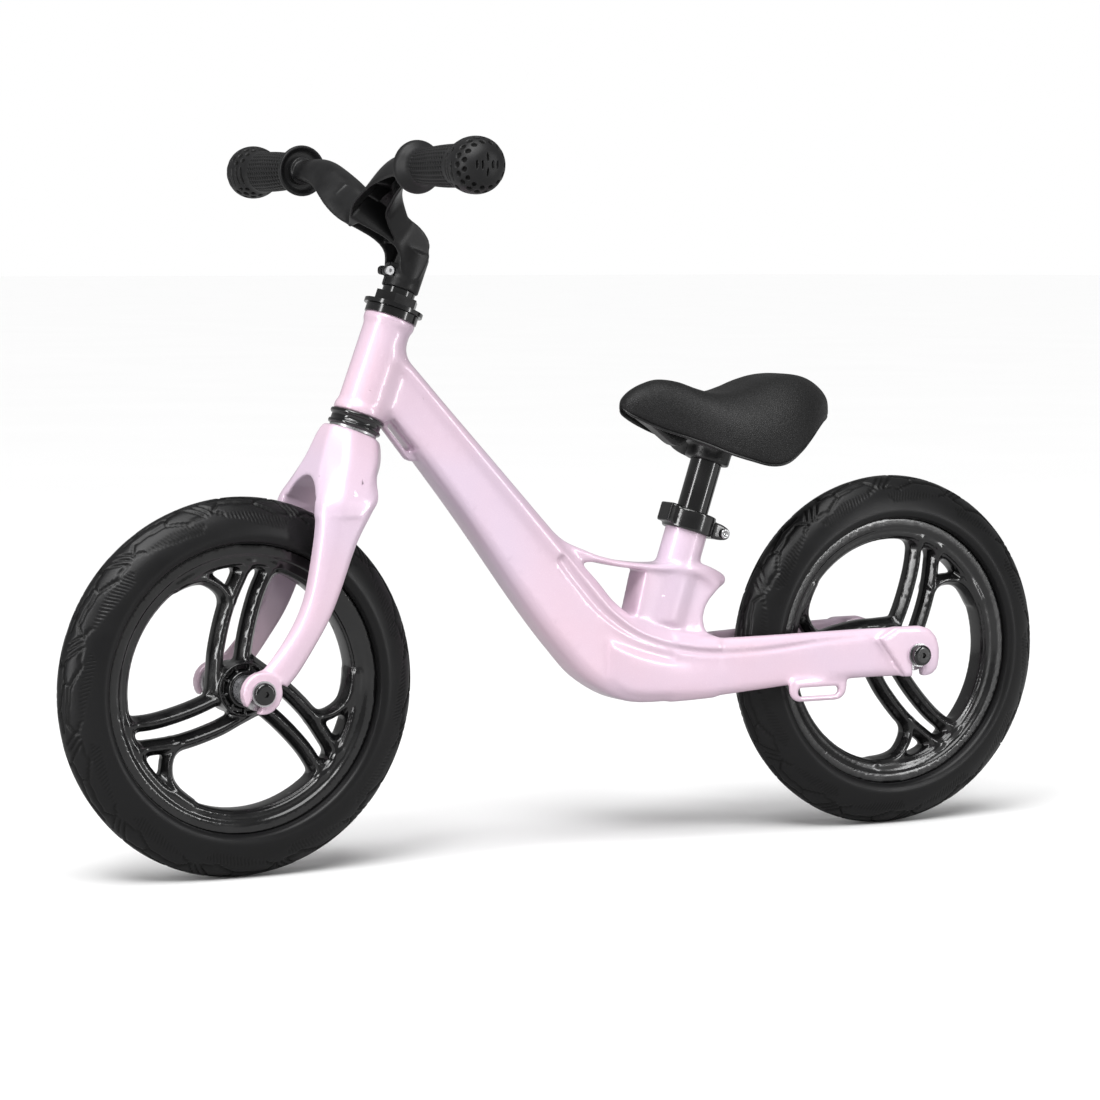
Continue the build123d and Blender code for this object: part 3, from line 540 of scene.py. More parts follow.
def cast_frame():
    """The frame's limbs are lofts across the bike, melted into each other with the fillets of a
    casting; bores, the tyre's room, grooves and slots are cut from them."""
    field = Field(*FRAME_ROOM)
    rings = np.array([section_row(a, b, spine_ring(t, s, u)) for a, b, t, s, u in SPINE])
    radius = np.array([3, 3.0, 2.5, 3, 12, 7, 7])
    radius = np.concatenate([radius, radius[::-1]])
    field.add(field.of_surface(skin(rounded(through(rings, 70), radius))))
    field.add(field.of_cylinder(HEAD_LOW, STEER_UP, 18.2, 0.2, 77.5), 9)
    field.add(field.of_cylinder(HEAD_LOW, STEER_UP, 19.4, 0.2, 5.5), 4)
    field.add(field.of_cylinder(HEAD_LOW, STEER_UP, 19.4, 72.5, 77.5), 4)
    for hand in (-1, 1):
        stay = np.array([section_row(a, b, stay_ring(i, o, hand)) for a, b, i, o in CHAINSTAY])
        field.add(field.of_surface(skin(rounded(through(stay, 50), 3.0))), 5)
        panel = np.array([section_row(a, b, stay_ring(i, o, hand)) for a, b, i, o in PANEL])
        field.add(field.of_surface(skin(rounded(through(panel, 40), 3.0))), 1.5)
    flat = [(-268.0, 166.4), (-292.0, 166.4), (-301.0, 163.6), (-307.5, 157.0), (-310.4, 148.0),
            (-310.4, 138.0), (-308.5, 130.6), (-303.6, 126.4), (-298.0, 125.4), (-276.0, 125.4),
            (-250.0, 157.0)]
    plates(field, flat, 42.0, 50.0, 2.0)
    # top stay with its tail, web and seat tube
    x, top, low, half = np.array(TOP_STAY).T
    plate = np.stack([np.stack([x, y, z], -1) for y, z in
                      ((half, top - 1), (half, low + 1), (half - 3, low), (3 - half, low),
                       (-half, low + 1), (-half, top - 1), (3 - half, top + 0.6), (half - 3,
                                                                                   top + 0.6))], 1)
    web = [(-55.0, 217.0), (-46.0, 180.0), (-60.0, 160.0), (-112.0, 160.0), (-113.5, 164.0),
           (-110.0, 170.5), (-108.6, 178.0), (-110.5, 186.0), (-115.0, 193.0), (-121.0, 198.5),
           (-124.0, 206.0), (-112.0, 217.0)]
    post = Field(*FRAME_ROOM)
    post.add(post.of_plate(web, -14.5, 14.5))
    post.soften(3)
    post.add(post.of_cylinder(SEAT_TOP, SEAT_UP, 17.0, -88, -0.4), 5)
    field.add(post.values, 5)
    field.add(field.of_surface(skin(rounded(through(plate, 60), 1.2))), 3.5)
    # strap hoop and tabs
    hoop = [(177.0, 350.0), (171.5, 337.0), (149.5, 310.0), (143.5, 308.0), (137.0, 312.0), (168.0,
                                                                                             352.0)]
    field.add(field.of_plate(hoop, -4.6, 4.6), 3)
    tab = rounded([(-228.0, 128.0), (-228.0, 115.0), (-222.0, 109.0), (-180.0, 109.0),
                   (-174.0, 115.0), (-174.0, 128.0)], 5)
    plates(field, tab, 35.1, 39.9, 2.5)
    field.soften(2)
    # details of the sides
    points, radii = [np.array(v) for v in zip(*GROOVE)]
    for hand in (-1, 1):
        path = points * [1, hand, 1]
        field.cut(field.of_surface(rod(path, radii, 120)), 1.6)
    step = [(-246.0, 162.5), (-276.0, 124.0), (-279.0, 124.0), (-249.0, 162.5)]
    plates(field, step, 47.4, 60.0, 0.8, cut=True)
    field.cut(field.of_plate(lozenge((156.5, 327.3), 27.0, 4.2, 49.0), -20, 20), 1)
    along, out = np.array([0.656, 0.755]), np.array([0.755, -0.656])
    relief_box = [np.array([158.0, 326.0]) + a * along + b * out
                  for a, b in ((-14, -4.6), (16, -4.6), (18, 16), (-17, 16))]
    plates(field, relief_box, 4.6, 40.0, 2.0, cut=True)
    plates(field, lozenge((-201.0, 117.0), 39.0, 7.2, 0), 30, 48, 1, cut=True)
    # bores, axle slots and the tyre's room
    field.cut(field.of_cylinder(HEAD_LOW, STEER_UP, 21.2, -20, 0), 0.01)
    field.cut(field.of_cylinder(HEAD_LOW, STEER_UP, 15.0, -5, 85), 1.5)
    field.cut(field.of_cylinder(SEAT_TOP, SEAT_UP, 12.8, -127, 5), 1)
    field.cut(field.of_cylinder((REAR_X, 0, AXLE_Z), LEFT, 150.5, -20, 20), 4)
    field.cut(field.of_cylinder((REAR_X, 0, AXLE_Z), LEFT, 14.2, -42, 42), 0.01)
    field.cut(field.of_cylinder((REAR_X, 0, AXLE_Z), LEFT, 5.3, -60, 60), 0.8)
    field.cut(field.of_plate([(-294.9, 143.0), (-294.9, 110.0), (-284.3, 110.0), (-284.3, 143.0)],
                             -60, 60), 0.8)
    return field.surface()


# ---- cast fork -----------------------------------------------------------
# front and back (x, z) points, half width, half width of the flat front
CROWN = (
    ((213.5, 340.5), (175.0, 326.5), 19.0, 8.0),
    ((219.0, 332.0), (173.5, 320.0), 25.0, 10.5),
    ((226.0, 315.0), (175.5, 308.0), 33.0, 15.0),
    ((232.5, 300.0), (182.0, 296.0), 39.5, 22.0),
    ((237.5, 284.0), (189.0, 284.0), 44.8, 31.0),
    ((239.8, 272.0), (197.0, 272.0), 47.0, 37.0),
)
# front and back (x, z) points, inner and outer face
LEGS = (
    ((221.0, 315.0), (184.0, 309.0), 18.0, 22.0),
    ((229.0, 300.0), (188.0, 297.0), 24.0, 35.0),
    ((237.6, 284.0), (191.0, 283.0), 28.5, 45.0),
    ((239.8, 272.0), (198.0, 272.0), 29.5, 47.0),
    ((242.5, 252.0), (210.5, 250.0), 31.0, 47.8),
    ((249.0, 218.0), (223.5, 216.0), 32.0, 47.8),
    ((256.8, 198.0), (232.5, 196.0), 33.4, 47.8),
    ((268.0, 181.0), (243.5, 178.0), 35.5, 48.0),
    ((281.0, 166.0), (258.0, 157.0), 38.5, 48.0),
    ((290.0, 158.0), (268.0, 146.0), 40.0, 48.0),
)


def leg_ring(inner, outer, hand, ridge):
    """Fork leg: upright inner side, and an outer side that rises to a ridge in the middle."""
    half = [(inner, 0), (outer - 7, 0), (outer - 2.2, 0.1), (outer - 0.4 * ridge, 0.36),
            (outer - 1.6 * ridge, 0.86), (outer - 5.0, 1), (inner + 2, 1)]
    return [(hand * y, s) for y, s in half]


def cast_fork():
    """Crown and legs are lofts melted together; the arch over the tyre is an ellipse on a block."""
    field = Field((164, -54, 120), (314, 54, 350), 1.0)
    rings = []
    for front, back, half, flat in CROWN:
        side = [(flat, 0), (half - 1.5, 0.22), (half, 0.34), (half - 1.0, 0.74), (flat * 0.8, 1)]
        rings.append(section_row(front, back, side + [(-y, s) for y, s in side[::-1]]))
    bend = np.array([2.5, 4, 4, 5, 6])
    bend = np.concatenate([bend, bend[::-1]])
    field.add(field.of_surface(skin(rounded(through(rings, 60), bend))))
    field.cut(field.of_cylinder(HEAD_LOW, STEER_UP, 60, -13.4, 30), 2.5)
    for hand in (-1, 1):
        legs = np.array([section_row(a, b, leg_ring(i, o, hand, ridge)) for (a, b, i, o), ridge in
                         zip(LEGS, (0.1, 0.1, 0.2, 0.3, 0.8, 1, 1, 1, 0.8, 0.4))])
        field.add(field.of_surface(skin(rounded(through(legs, 70), 2.6))), 4)
    angle = np.linspace(0, np.pi, 25)
    arch = np.stack([30.5 * np.cos(angle), 262 + 38 * np.sin(angle)], -1)
    arch = np.concatenate([arch, [(-30.5, 235.0), (30.5, 235.0)]])
    field.cut(field.of_plate(arch, 150, 320, "x"), 2.5)
    centre = (FRONT_X, 0, AXLE_Z)
    field.cut(field.of_cylinder(centre, LEFT, 150.0, -27, 27), 3)
    field.soften(1)
    for hand in (-1, 1):
        low, high = sorted((hand * 40.0, hand * 48.0))
        eye = field.of_cylinder(centre, LEFT, 15.8, low, high)
        field.add(eye, 2.5)
        low, high = sorted((hand * 48.0, hand * 60.0))
        field.cut(field.of_cylinder(centre, LEFT, 18.5, low, high), 0.5)
    field.cut(field.of_cylinder(centre, LEFT, 14.2, -40, 40), 0.5)
    field.cut(field.of_cylinder(centre, LEFT, 5.3, -60, 60), 0.8)
    reach = np.array([np.cos(np.radians(-58)), np.sin(np.radians(-58))])
    side = np.array([-reach[1], reach[0]]) * 5.3
    hub = np.array([FRONT_X, AXLE_Z])
    slot = [hub + side, hub - side, hub - side + 30 * reach, hub + side + 30 * reach]
    field.cut(field.of_plate(slot, -60, 60), 1.2)
    field.cut(field.of_cylinder(HEAD_LOW, STEER_UP, 12.7, -31.4, 0), 0.01)
    return field.surface()


# ---- wheels --------------------------------------------------------------
RIM_ROOM = ((-112, -20, -112), (112, 20, 112), 1.0)
RIM_STEPS = 360
TYRE_STEPS = 1020
TYRE_RADIUS = 143.0
TREAD_REPEATS = 12
# ridge lines, as radius and degrees from the outer end of the braced arm
SPOKES = (
    ((21.0, -100.0), (22.4, -62.0), (36.3, -30.5), (62.6, -10.8), (94.0, 1.2)),
    ((17.0, 7.4), (38.0, 7.0), (58.0, 8.6), (76.0, 10.6), (95.0, 13.6)),
    ((63.0, -9.5), (76.0, -13.4), (86.0, -20.0), (91.0, -27.0), (95.0, -36.0)),
)


def moulded_rim():
    """One wheel about its own axle: a turned seat for the tyre, roof-shaped arms carried along
    smooth ridge lines, and a hub with pockets, melted together."""
    field = Field(*RIM_ROOM)
    half = [(109.0, 14.0), (108.6, 14.6), (101.6, 14.4), (100.2, 13.2), (99.2, 12.4), (95.0, 12.2),
            (93.6, 11.4), (92.8, 9.4), (91.4, 8.8), (90.9, 4.0)]
    seat = [(103.0, 11.2), (109.0, 11.4)]
    outline = np.array(seat + half + [(r, -y) for r, y in half[::-1]] + [(r, -y) for r,
                                                                         y in seat[::-1]])
    angle = np.linspace(0, 2 * np.pi, RIM_STEPS + 1)[:-1]
    r, y = outline.T
    swept = np.stack([r * np.cos(angle)[:, None], np.broadcast_to(y, (RIM_STEPS, len(y))),
                      r * np.sin(angle)[:, None]], -1)
    faces = halves(closed_quads(RIM_STEPS, len(y)))
    ring = field.of_surface((swept.reshape(-1, 3), faces))
    arms = Field(*RIM_ROOM)
    roof = np.array([(-10.0, -1.2), (-3.2, -6.0), (3.2, -6.0), (10.0, -1.2),
                     (10.0, 1.2), (3.2, 6.0), (-3.2, 6.0), (-10.0, 1.2)])
    for third in range(3):
        for spoke, width in zip(SPOKES, (1.0, 1.0, 0.8)):
            r, t = np.array(spoke).T
            t = np.radians(t + 120 * third)
            line = through(np.stack([r * np.cos(t), 0 * r, r * np.sin(t)], -1), 40)
            along = np.gradient(line, axis=0)
            along /= np.linalg.norm(along, axis=1, keepdims=True)
            across = np.cross(along, LEFT)
            ring_points = (line[:, None] + roof[:, :1] * LEFT * (0.9 + 0.1 * width)
                           + roof[:, 1:] * width * across[:, None])
            arms.add(arms.of_surface(skin(rounded(ring_points, 0.9, 3))), 3.5)
    field.values = ring
    field.add(arms.values, 7)
    axle = (0, 0, 0)
    field.add(field.of_cylinder(axle, LEFT, 20.0, -13.5, 13.5), 4)
    for side in (-1, 1):
        low, high = sorted((side * 9.0, side * 20.0))
        pocket = field.of_cylinder(axle, LEFT, 18.4, low, high)
        pocket = np.maximum(pocket, -field.of_cylinder(axle, LEFT, 14.2, -20, 20))
        for turn in np.radians((15, 55, 95, 135, 175, 215, 255, 295, 335)):
            rib = np.abs(field.x * np.sin(turn) - field.z * np.cos(turn)) - 0.9
            behind = -(field.x * np.cos(turn) + field.z * np.sin(turn))
            pocket = np.maximum(pocket, -np.maximum(rib, behind))
        field.cut(field.clip(pocket), 0.8)
    field.add(field.of_cylinder(axle, LEFT, 14.0, -16.8, 16.8), 0.6)
    field.cut(field.of_cylinder(axle, LEFT, 11.05, -20, 20), 0.8)
    field.add(np.maximum(field.of_cylinder(axle, LEFT, 12, -9.8, 9.8),
                         -field.of_cylinder(axle, LEFT, 8, -20, 20)), 0.01)
    return field.surface()


def placed_wheel(points, x, turn, hand):
    """Turns a wheel made about its own axle, mirrors it front to back for the other hand, and
    moves it to its axle."""
    flat = points * [1, 1, hand]
    c, s = np.cos(np.radians(turn)), np.sin(np.radians(turn))
    return np.stack([c * flat[:, 0] - s * flat[:, 2] + x, flat[:, 1],
                     s * flat[:, 0] + c * flat[:, 2] + AXLE_Z], -1)


def stroke_depth(u, v, strokes, period):
    """Depth of engraved strokes: for each, its depth where a point is nearer to the stroke's
    middle line than its half width, easing out over half a millimetre; the deepest one counts.
    Strokes repeat along u with a period."""
    a, b = strokes[:, :2], strokes[:, 2:4]
    half, depth = strokes[:, 4], strokes[:, 5]
    du = (u[..., None] - a[:, 0] + period / 2) % period - period / 2
    dv = v[..., None] - a[:, 1]
    e = b - a
    share = np.clip((du * e[:, 0] + dv * e[:, 1]) / (e ** 2).sum(1), 0, 1)
    away = np.hypot(du - share * e[:, 0], dv - share * e[:, 1])
    return (depth * np.clip((half + 0.35 - away) / 0.7, 0, 1)).max(-1)


def tread_strokes():
    """One repeat of the tread, in millimetres round the crown and out from its middle line: a row
    of slanted cuts that shorten to one end, and the shoulder lug's zigzag grooves."""
    n = 18
    place = np.linspace(0, 1, n)
    reach = 7.5 * np.clip(place * 2.2, 0.12, 1) * np.clip((1.02 - place) * 7, 0.3, 1)
    start = np.stack([4 + place * 54.0, 21.0 + place * 3.0 - reach * 0.2], -1)
    stop = start + np.stack([reach * 0.42, reach * 0.95], -1)
    cuts = np.concatenate([start, stop, np.full((n, 1), 0.42), np.full((n, 1), 0.7)], 1)
    grooves = np.array([
        (2, 9.0, 30, 12.0, 0.75, 1.5), (30, 12.0, 46, 19.0, 0.75, 1.5), (2, 9.0, -6, 15.5, 0.75,
                                                                         1.5),
        (-6, 15.5, 3, 19.0, 0.7, 1.3), (46, 19.0, 60, 17.0, 0.7, 1.3), (52, 8.0, 62, 17.5, 0.75,
                                                                        1.4),
        (57, 6.5, 66, 16.5, 0.75, 1.4), (62, 5.5, 70, 14.5, 0.75, 1.4), (14, 3.0, 34, 6.5, 0.8,
                                                                         1.5),
        (34, 6.5, 48, 4.5, 0.8, 1.5), (48, 4.5, 52, 8.0, 0.7, 1.3), (-4, 4.5, 14, 3.0, 0.8, 1.5),
        (30, 12.0, 34, 6.5, 0.7, 1.3), (10, 0.0, 14, 3.0, 0.7, 1.2), (44, 0.0, 48, 4.5, 0.7, 1.2)])
    return cuts, grooves


def foam_tyre():
    """Turned tyre about its own axle: a smooth outline round the section, and the tread pressed in
    along it. Returns points, quads and the engraved depth at each point."""
    outer = np.array([(14.0, 108.9), (16.8, 108.9), (20.2, 110.6), (21.7, 113.8), (21.7, 117.6),
                      (19.8, 124.0), (17.0, 130.0), (12.4, 136.6), (6.8, 141.2), (0.0, 143.0)])
    arc = through(outer, 46)
    rows = np.concatenate([[(11.5, 103.1), (11.5, 108.9)], arc])
    rows = np.concatenate([rows, rows[-2::-1] * [-1, 1]])
    step = np.linalg.norm(np.diff(rows, axis=0), axis=1)
    run = np.concatenate([[0], np.cumsum(step)])
    run = run - run[len(rows) // 2]
    angle = np.linspace(0, 2 * np.pi, TYRE_STEPS, endpoint=False)
    circle = 2 * np.pi * TYRE_RADIUS
    period = circle / TREAD_REPEATS
    cuts, grooves = tread_strokes()
    u = np.broadcast_to((angle / (2 * np.pi) * circle)[:, None], (TYRE_STEPS, len(rows)))
    v = np.broadcast_to(run, u.shape)
    shifted = np.where(v < 0, u + period / 2, u) % period
    fine = stroke_depth(shifted, np.abs(v), cuts, period)
    lugs = stroke_depth(shifted, np.abs(v), grooves, period)
    depth = np.maximum(fine, lugs)
    normal = np.gradient(rows, axis=0)
    normal = np.stack([normal[:, 1], -normal[:, 0]], -1)
    normal /= np.maximum(np.linalg.norm(normal, axis=1, keepdims=True), 1e-9)
    inward = np.where((normal[:, :1] * rows[:, :1] + normal[:, 1:] * (rows[:, 1:] - 122)) > 0, -1,
                      1)
    push = normal * inward
    y = rows[:, 0] + depth * push[:, 0]
    r = rows[:, 1] + depth * push[:, 1]
    points = np.stack([r * np.cos(angle)[:, None], y, r * np.sin(angle)[:, None]], -1)
    quads = closed_quads(TYRE_STEPS, len(rows))
    return points.reshape(-1, 3), quads, np.clip(depth / 0.7, 0, 1)


def build_wheels():
    """Rims and tyres of both wheels, made once and placed twice."""
    rim_points, rim_faces = moulded_rim()
    tyre_points, tyre_faces, depth = foam_tyre()
    for side, x, turn, hand in (("front", FRONT_X, 92.4, 1), ("rear", REAR_X, 0.7, -1)):
        body = side + "_wheel"
        piece(side + "_wheel_rim", placed_wheel(rim_points, x, turn, hand), rim_faces, RIM_PLASTIC,
              body, "rim_plastic", [side + "_rim"])
        tyre = piece(side + "_wheel_tyre", placed_wheel(tyre_points, x, turn + 4, hand), tyre_faces,
                     FOAM, body, "eva_tyre", [side + "_tyre"])
        # cut depth per point, which the foam material reads to paint shade into the tread cuts
        attribute(tyre, "cuts", depth)


# ---- handlebar and grips -------------------------------------------------
# distance from the middle, then (x, z) of front lip, crease, top front, top back, back, back lip
WING = (
    (0.0, ((196.5, 487.5), (194.0, 503.0), (184.0, 511.0), (160.0, 498.0), (147.0, 487.0), (147.0,
                                                                                            468.0))),
    (13.0, ((203.0, 495.0), (195.0, 507.5), (185.0, 515.0), (163.0, 500.5), (150.0, 489.5), (162.0,
                                                                                             474.0))),
    (26.0, ((206.5, 504.0), (194.5, 513.5), (185.0, 521.5), (170.0, 518.0), (162.5, 508.0), (177.0,
                                                                                             493.0))),
    (46.0, ((204.5, 515.5), (197.0, 525.5), (188.0, 532.5), (176.0, 531.0), (171.0, 520.0), (181.5,
                                                                                             505.0))),
    (62.0, ((201.6, 521.0), (197.5, 532.0), (189.0, 538.6), (178.5, 536.5), (174.5, 526.0), (184.0,
                                                                                             512.5))),
    (78.0, ((200.2, 524.0), (197.4, 534.8), (189.4, 539.6), (181.0, 536.6), (178.0, 527.5), (187.0,
                                                                                             517.5))),
    (99.0, ((198.6, 525.0), (196.4, 534.4), (189.4, 538.4), (182.0, 536.0), (179.8, 529.0), (188.0,
                                                                                             521.0))),
)
# move of each section point to the inner wall
HOLLOW = ((-3.2, 1.2), (-3.2, -2.4), (0.0, -3.2), (2.8, -2.8), (3.2, 0.6), (2.8, 1.2))
GRIP_X, GRIP_Z = 188.9, 530.0


def cast_bar():
    """Two hollow wings lofted outwards from the middle, the hood behind them and the clamp tube,
    melted together; the hollows are the same lofts moved inwards and opened below."""
    field = Field((118, -108, 430), (216, 108, 548), 0.9)
    stem = HEAD_LOW + 100.2 * STEER_UP
    field.add(field.of_cylinder(stem, STEER_UP, 14.4, 0, 29), 0.01)
    hood = rounded([(147.5, 446.0), (136.5, 462.0), (134.0, 474.0), (138.5, 482.0), (145.0, 488.5),
                    (160.0, 497.5), (184.0, 509.0), (193.5, 503.0), (195.5, 491.0), (176.0, 485.0),
                    (160.0, 468.0), (160.5, 452.0)], 6)
    field.add(field.of_plate(hood, -13.6, 13.6), 5)
    outer = np.array([[(x, y, z) for x, z in points] for y, points in WING])
    for hand in (-1, 1):
        wing = through(outer, 90) * [1, hand, 1]
        field.add(field.of_surface(skin(rounded(wing, [1.0, 4, 5, 5, 5, 1.0]))), 3.0)
    field.soften(1)
    inner = outer[1:6] + np.array([(a, 0, b) for a, b in HOLLOW])
    back = outer[1:6, 5] + np.array([2.2, 0, -16.0])
    front = outer[1:6, 0] + np.array([1.2, 0, -14.0])
    inner = np.concatenate([inner, back[:, None], front[:, None]], 1)
    for hand in (-1, 1):
        field.cut(field.of_surface(skin(rounded(through(inner, 60) * [1, hand, 1], 2.2))), 1.2)
    hole = rounded([(200.0, 478.0), (192.5, 490.0), (190.5, 501.0), (182.5, 505.0), (160.5, 493.5),
                    (148.0, 485.0), (142.0, 479.5), (138.0, 472.5), (141.0, 464.0), (148.0, 457.0),
                    (158.0, 457.0), (166.0, 466.0), (182.0, 474.0)], 2.5)
    field.cut(field.of_plate(hole, -10.4, 10.4), 1.2)
    field.cut(field.of_cylinder(stem, STEER_UP, 11.2, -2, 37), 0.8)
    # ribs across the hollow
    for outline in ([(140.0, 477.5), (186.0, 497.0), (186.6, 495.4), (140.6, 475.6)],
                    [(152.0, 491.5), (160.0, 474.0), (162.0, 474.6), (154.2, 492.5)]):
        field.add(field.of_plate(outline, -11.4, 11.4), 1.5)
    for hand in (-1, 1):
        for y in (24.0, 44.0):
            fin = [(196.0, 511.5 + 0.35 * (y - 24)), (188.0, 519.0 + 0.5 * (y - 24)),
                   (174.0, 514.0 + 0.6 * (y - 24)), (184.0, 505.0 + 0.6 * (y - 24))]
            low, high = sorted((hand * y, hand * (y + 1.8)))
            field.add(field.of_plate(fin, low, high), 1.2)
        low, high = sorted((hand * 97.0, hand * 107.0))
        field.add(field.of_cylinder((GRIP_X, 0, GRIP_Z), LEFT, 10.8, low, high), 1)
    # lugs of the clamp, its saw cut and the bolt's seat
    bolt = stem + 10 * STEER_UP + 16.8 * STEER_FRONT
    field.add(field.of_cylinder(bolt, LEFT, 3.6, -6.4, 6.4), 2)
    cut = [stem + STEER_FRONT * 30 - 2 * STEER_UP, stem + STEER_FRONT * 30 + 22 * STEER_UP,
           stem + STEER_FRONT * 5 + 22 * STEER_UP, stem + STEER_FRONT * 5 - 2 * STEER_UP]
    field.cut(field.of_plate([(p[0], p[2]) for p in cut], -0.9, 0.9), 0.5)
    field.cut(field.of_cylinder(bolt, LEFT, 2.1, -20, 20), 0.3)
    return field.surface()


def ovals(u, v, across, along, slant):
    """How deep a point is in an oval about nought: one inside, easing to nought at the rim."""
    c, s = np.cos(np.radians(slant)), np.sin(np.radians(slant))
    away = np.hypot((c * u + s * v) / across, (c * v - s * u) / along)
    return np.clip((1.1 - away) / 0.2, 0, 1)


def grip_surface(hand):
    """Turned rubber grip. The body carries rows of short cuts across it, and the ball rings of
    oval holes, three groups of long slits, and short cuts on its end. Depth is taken off along the outline's
    outward direction. Returns points, triangles and the depth."""
    rows = np.array([(101.5, 11.3), (101.2, 14.8), (98.6, 17.6), (98.4, 19.0), (100.2, 19.7),
                     (103.0, 18.9), (106.0, 16.4), (109.5, 13.9), (114.0, 13.2), (128.0, 14.5),
                     (146.0, 15.5), (164.0, 15.8), (171.0, 15.9), (175.0, 16.8), (180.0, 18.8),
                     (187.0, 20.4), (194.0, 20.7), (200.5, 19.4), (206.0, 15.8), (209.6, 10.6),
                     (211.1, 5.0), (211.35, 0.4)])
    outline = through(rows, 420)
    run = np.concatenate([[0], np.cumsum(np.linalg.norm(np.diff(outline, axis=0), axis=1))])
    even = np.linspace(0, run[-1], 272)
    outline = np.stack([np.interp(even, run, outline[:, k]) for k in (0, 1)], -1)
    around = 352
    t = np.linspace(0, 2 * np.pi, around, endpoint=False)[:, None]
    y, r = outline.T
    y, r, t = np.broadcast_arrays(y, r, t)
    # body: 28 rows round, a cut every 4.1 mm
    row = t / (2 * np.pi) * 28
    k = np.floor(row)
    u = (row - k - 0.5) * 3.42
    step = (y - 112.0) / 4.1
    v = (step - np.floor(step) - 0.5) * 4.1
    body = ovals(u, v, 1.4, 1.2, 0) * ((y > 112.0) & (y < 169.4))
    ridge = 0.35 * np.clip(1 - np.abs(row - k - 0.5) * 3.2, 0, 1) * np.clip((171 - y) / 3, 0, 1) \
        * np.clip((y - 109) / 3, 0, 1)
    # ball: rings of ovals, slits below, cuts on the end
    ball = np.zeros_like(y)
    slits = np.cos(3 * t + 0.6) > 0.1
    for place, count, across, along, shift, everywhere in ((177.8, 18, 1.7, 1.7, 0.0, False),
                                                           (183.6, 18, 2.2, 2.1, 0.5, False),
                                                           (190.0, 18, 2.4, 2.1, 0.0, False),
                                                           (200.6, 18, 2.2, 1.7, 0.5, True),
                                                           (205.4, 15, 1.9, 1.3, 0.0, True)):
        cell = t / (2 * np.pi) * count + shift
        u = (cell - np.floor(cell) - 0.5) * 2 * np.pi * r / count
        part = ovals(u, y - place, across, along, 12)
        ball = np.maximum(ball, part if everywhere else part * ~slits)
    for place in (177.2, 182.2, 187.6, 193.4):
        cell = t / (2 * np.pi) * 3 + 0.6 / (2 * np.pi) + 0.5
        u = (cell - np.floor(cell) - 0.5) * 2 * np.pi * r / 3
        ball = np.maximum(ball, ovals(u, y - place, 7.5, 1.15, 4))
    end_u, end_v = r * np.cos(t), r * np.sin(t)
    for du, dv in ((-4.0, 0.0), (4.0, 0.0), (0.0, 5.4), (0.0, -5.4), (-8.2, 0.0), (8.2, 0.0)):
        slit = ovals(end_u - du, end_v - dv, 0.8, 3.0, 0)
        ball = np.maximum(ball, slit * (y > 202))
    depth = 1.1 * body + 1.7 * ball
    normal = np.gradient(outline, axis=0)
    normal = np.stack([-normal[:, 1], normal[:, 0]], -1)
    normal /= np.maximum(np.linalg.norm(normal, axis=1, keepdims=True), 1e-9)
    sunk = depth
    depth = depth + ridge
    y = y - depth * normal[:, 0]
    r = np.maximum(r - depth * normal[:, 1], 0.15)
    points = np.stack([GRIP_X + r * np.cos(t), hand * y, GRIP_Z + r * np.sin(t)], -1)
    grid = np.transpose(points, (1, 0, 2))
    shaped, faces = skin(grid)
    return shaped, faces, np.concatenate([sunk.T.ravel(), [0, 0]])


# ---- saddle --------------------------------------------------------------
# x, half width at the rim, height of the middle, height of the rim
SADDLE = (
    (-40.0, 2.6, 350.0, 346.0), (-42.5, 7.2, 354.0, 344.0), (-49.0, 11.4, 359.4, 340.4),
    (-59.0, 15.0, 364.2, 335.4), (-72.5, 19.0, 367.5, 329.8), (-88.0, 25.6, 365.8, 324.4),
    (-102.0, 35.0, 360.8, 318.6), (-114.0, 45.0, 357.6, 312.6), (-128.0, 54.6, 357.6, 307.4),
    (-143.0, 60.6, 361.4, 303.4), (-157.0, 62.2, 366.4, 305.4), (-171.0, 59.8, 369.8, 314.0),
    (-184.0, 54.0, 370.8, 323.6), (-195.0, 46.4, 369.4, 331.0), (-204.6, 38.0, 366.0, 335.6),
    (-214.0, 28.0, 360.6, 338.0), (-221.6, 16.6, 354.4, 340.0), (-225.6, 4.0, 349.0, 343.4),
)


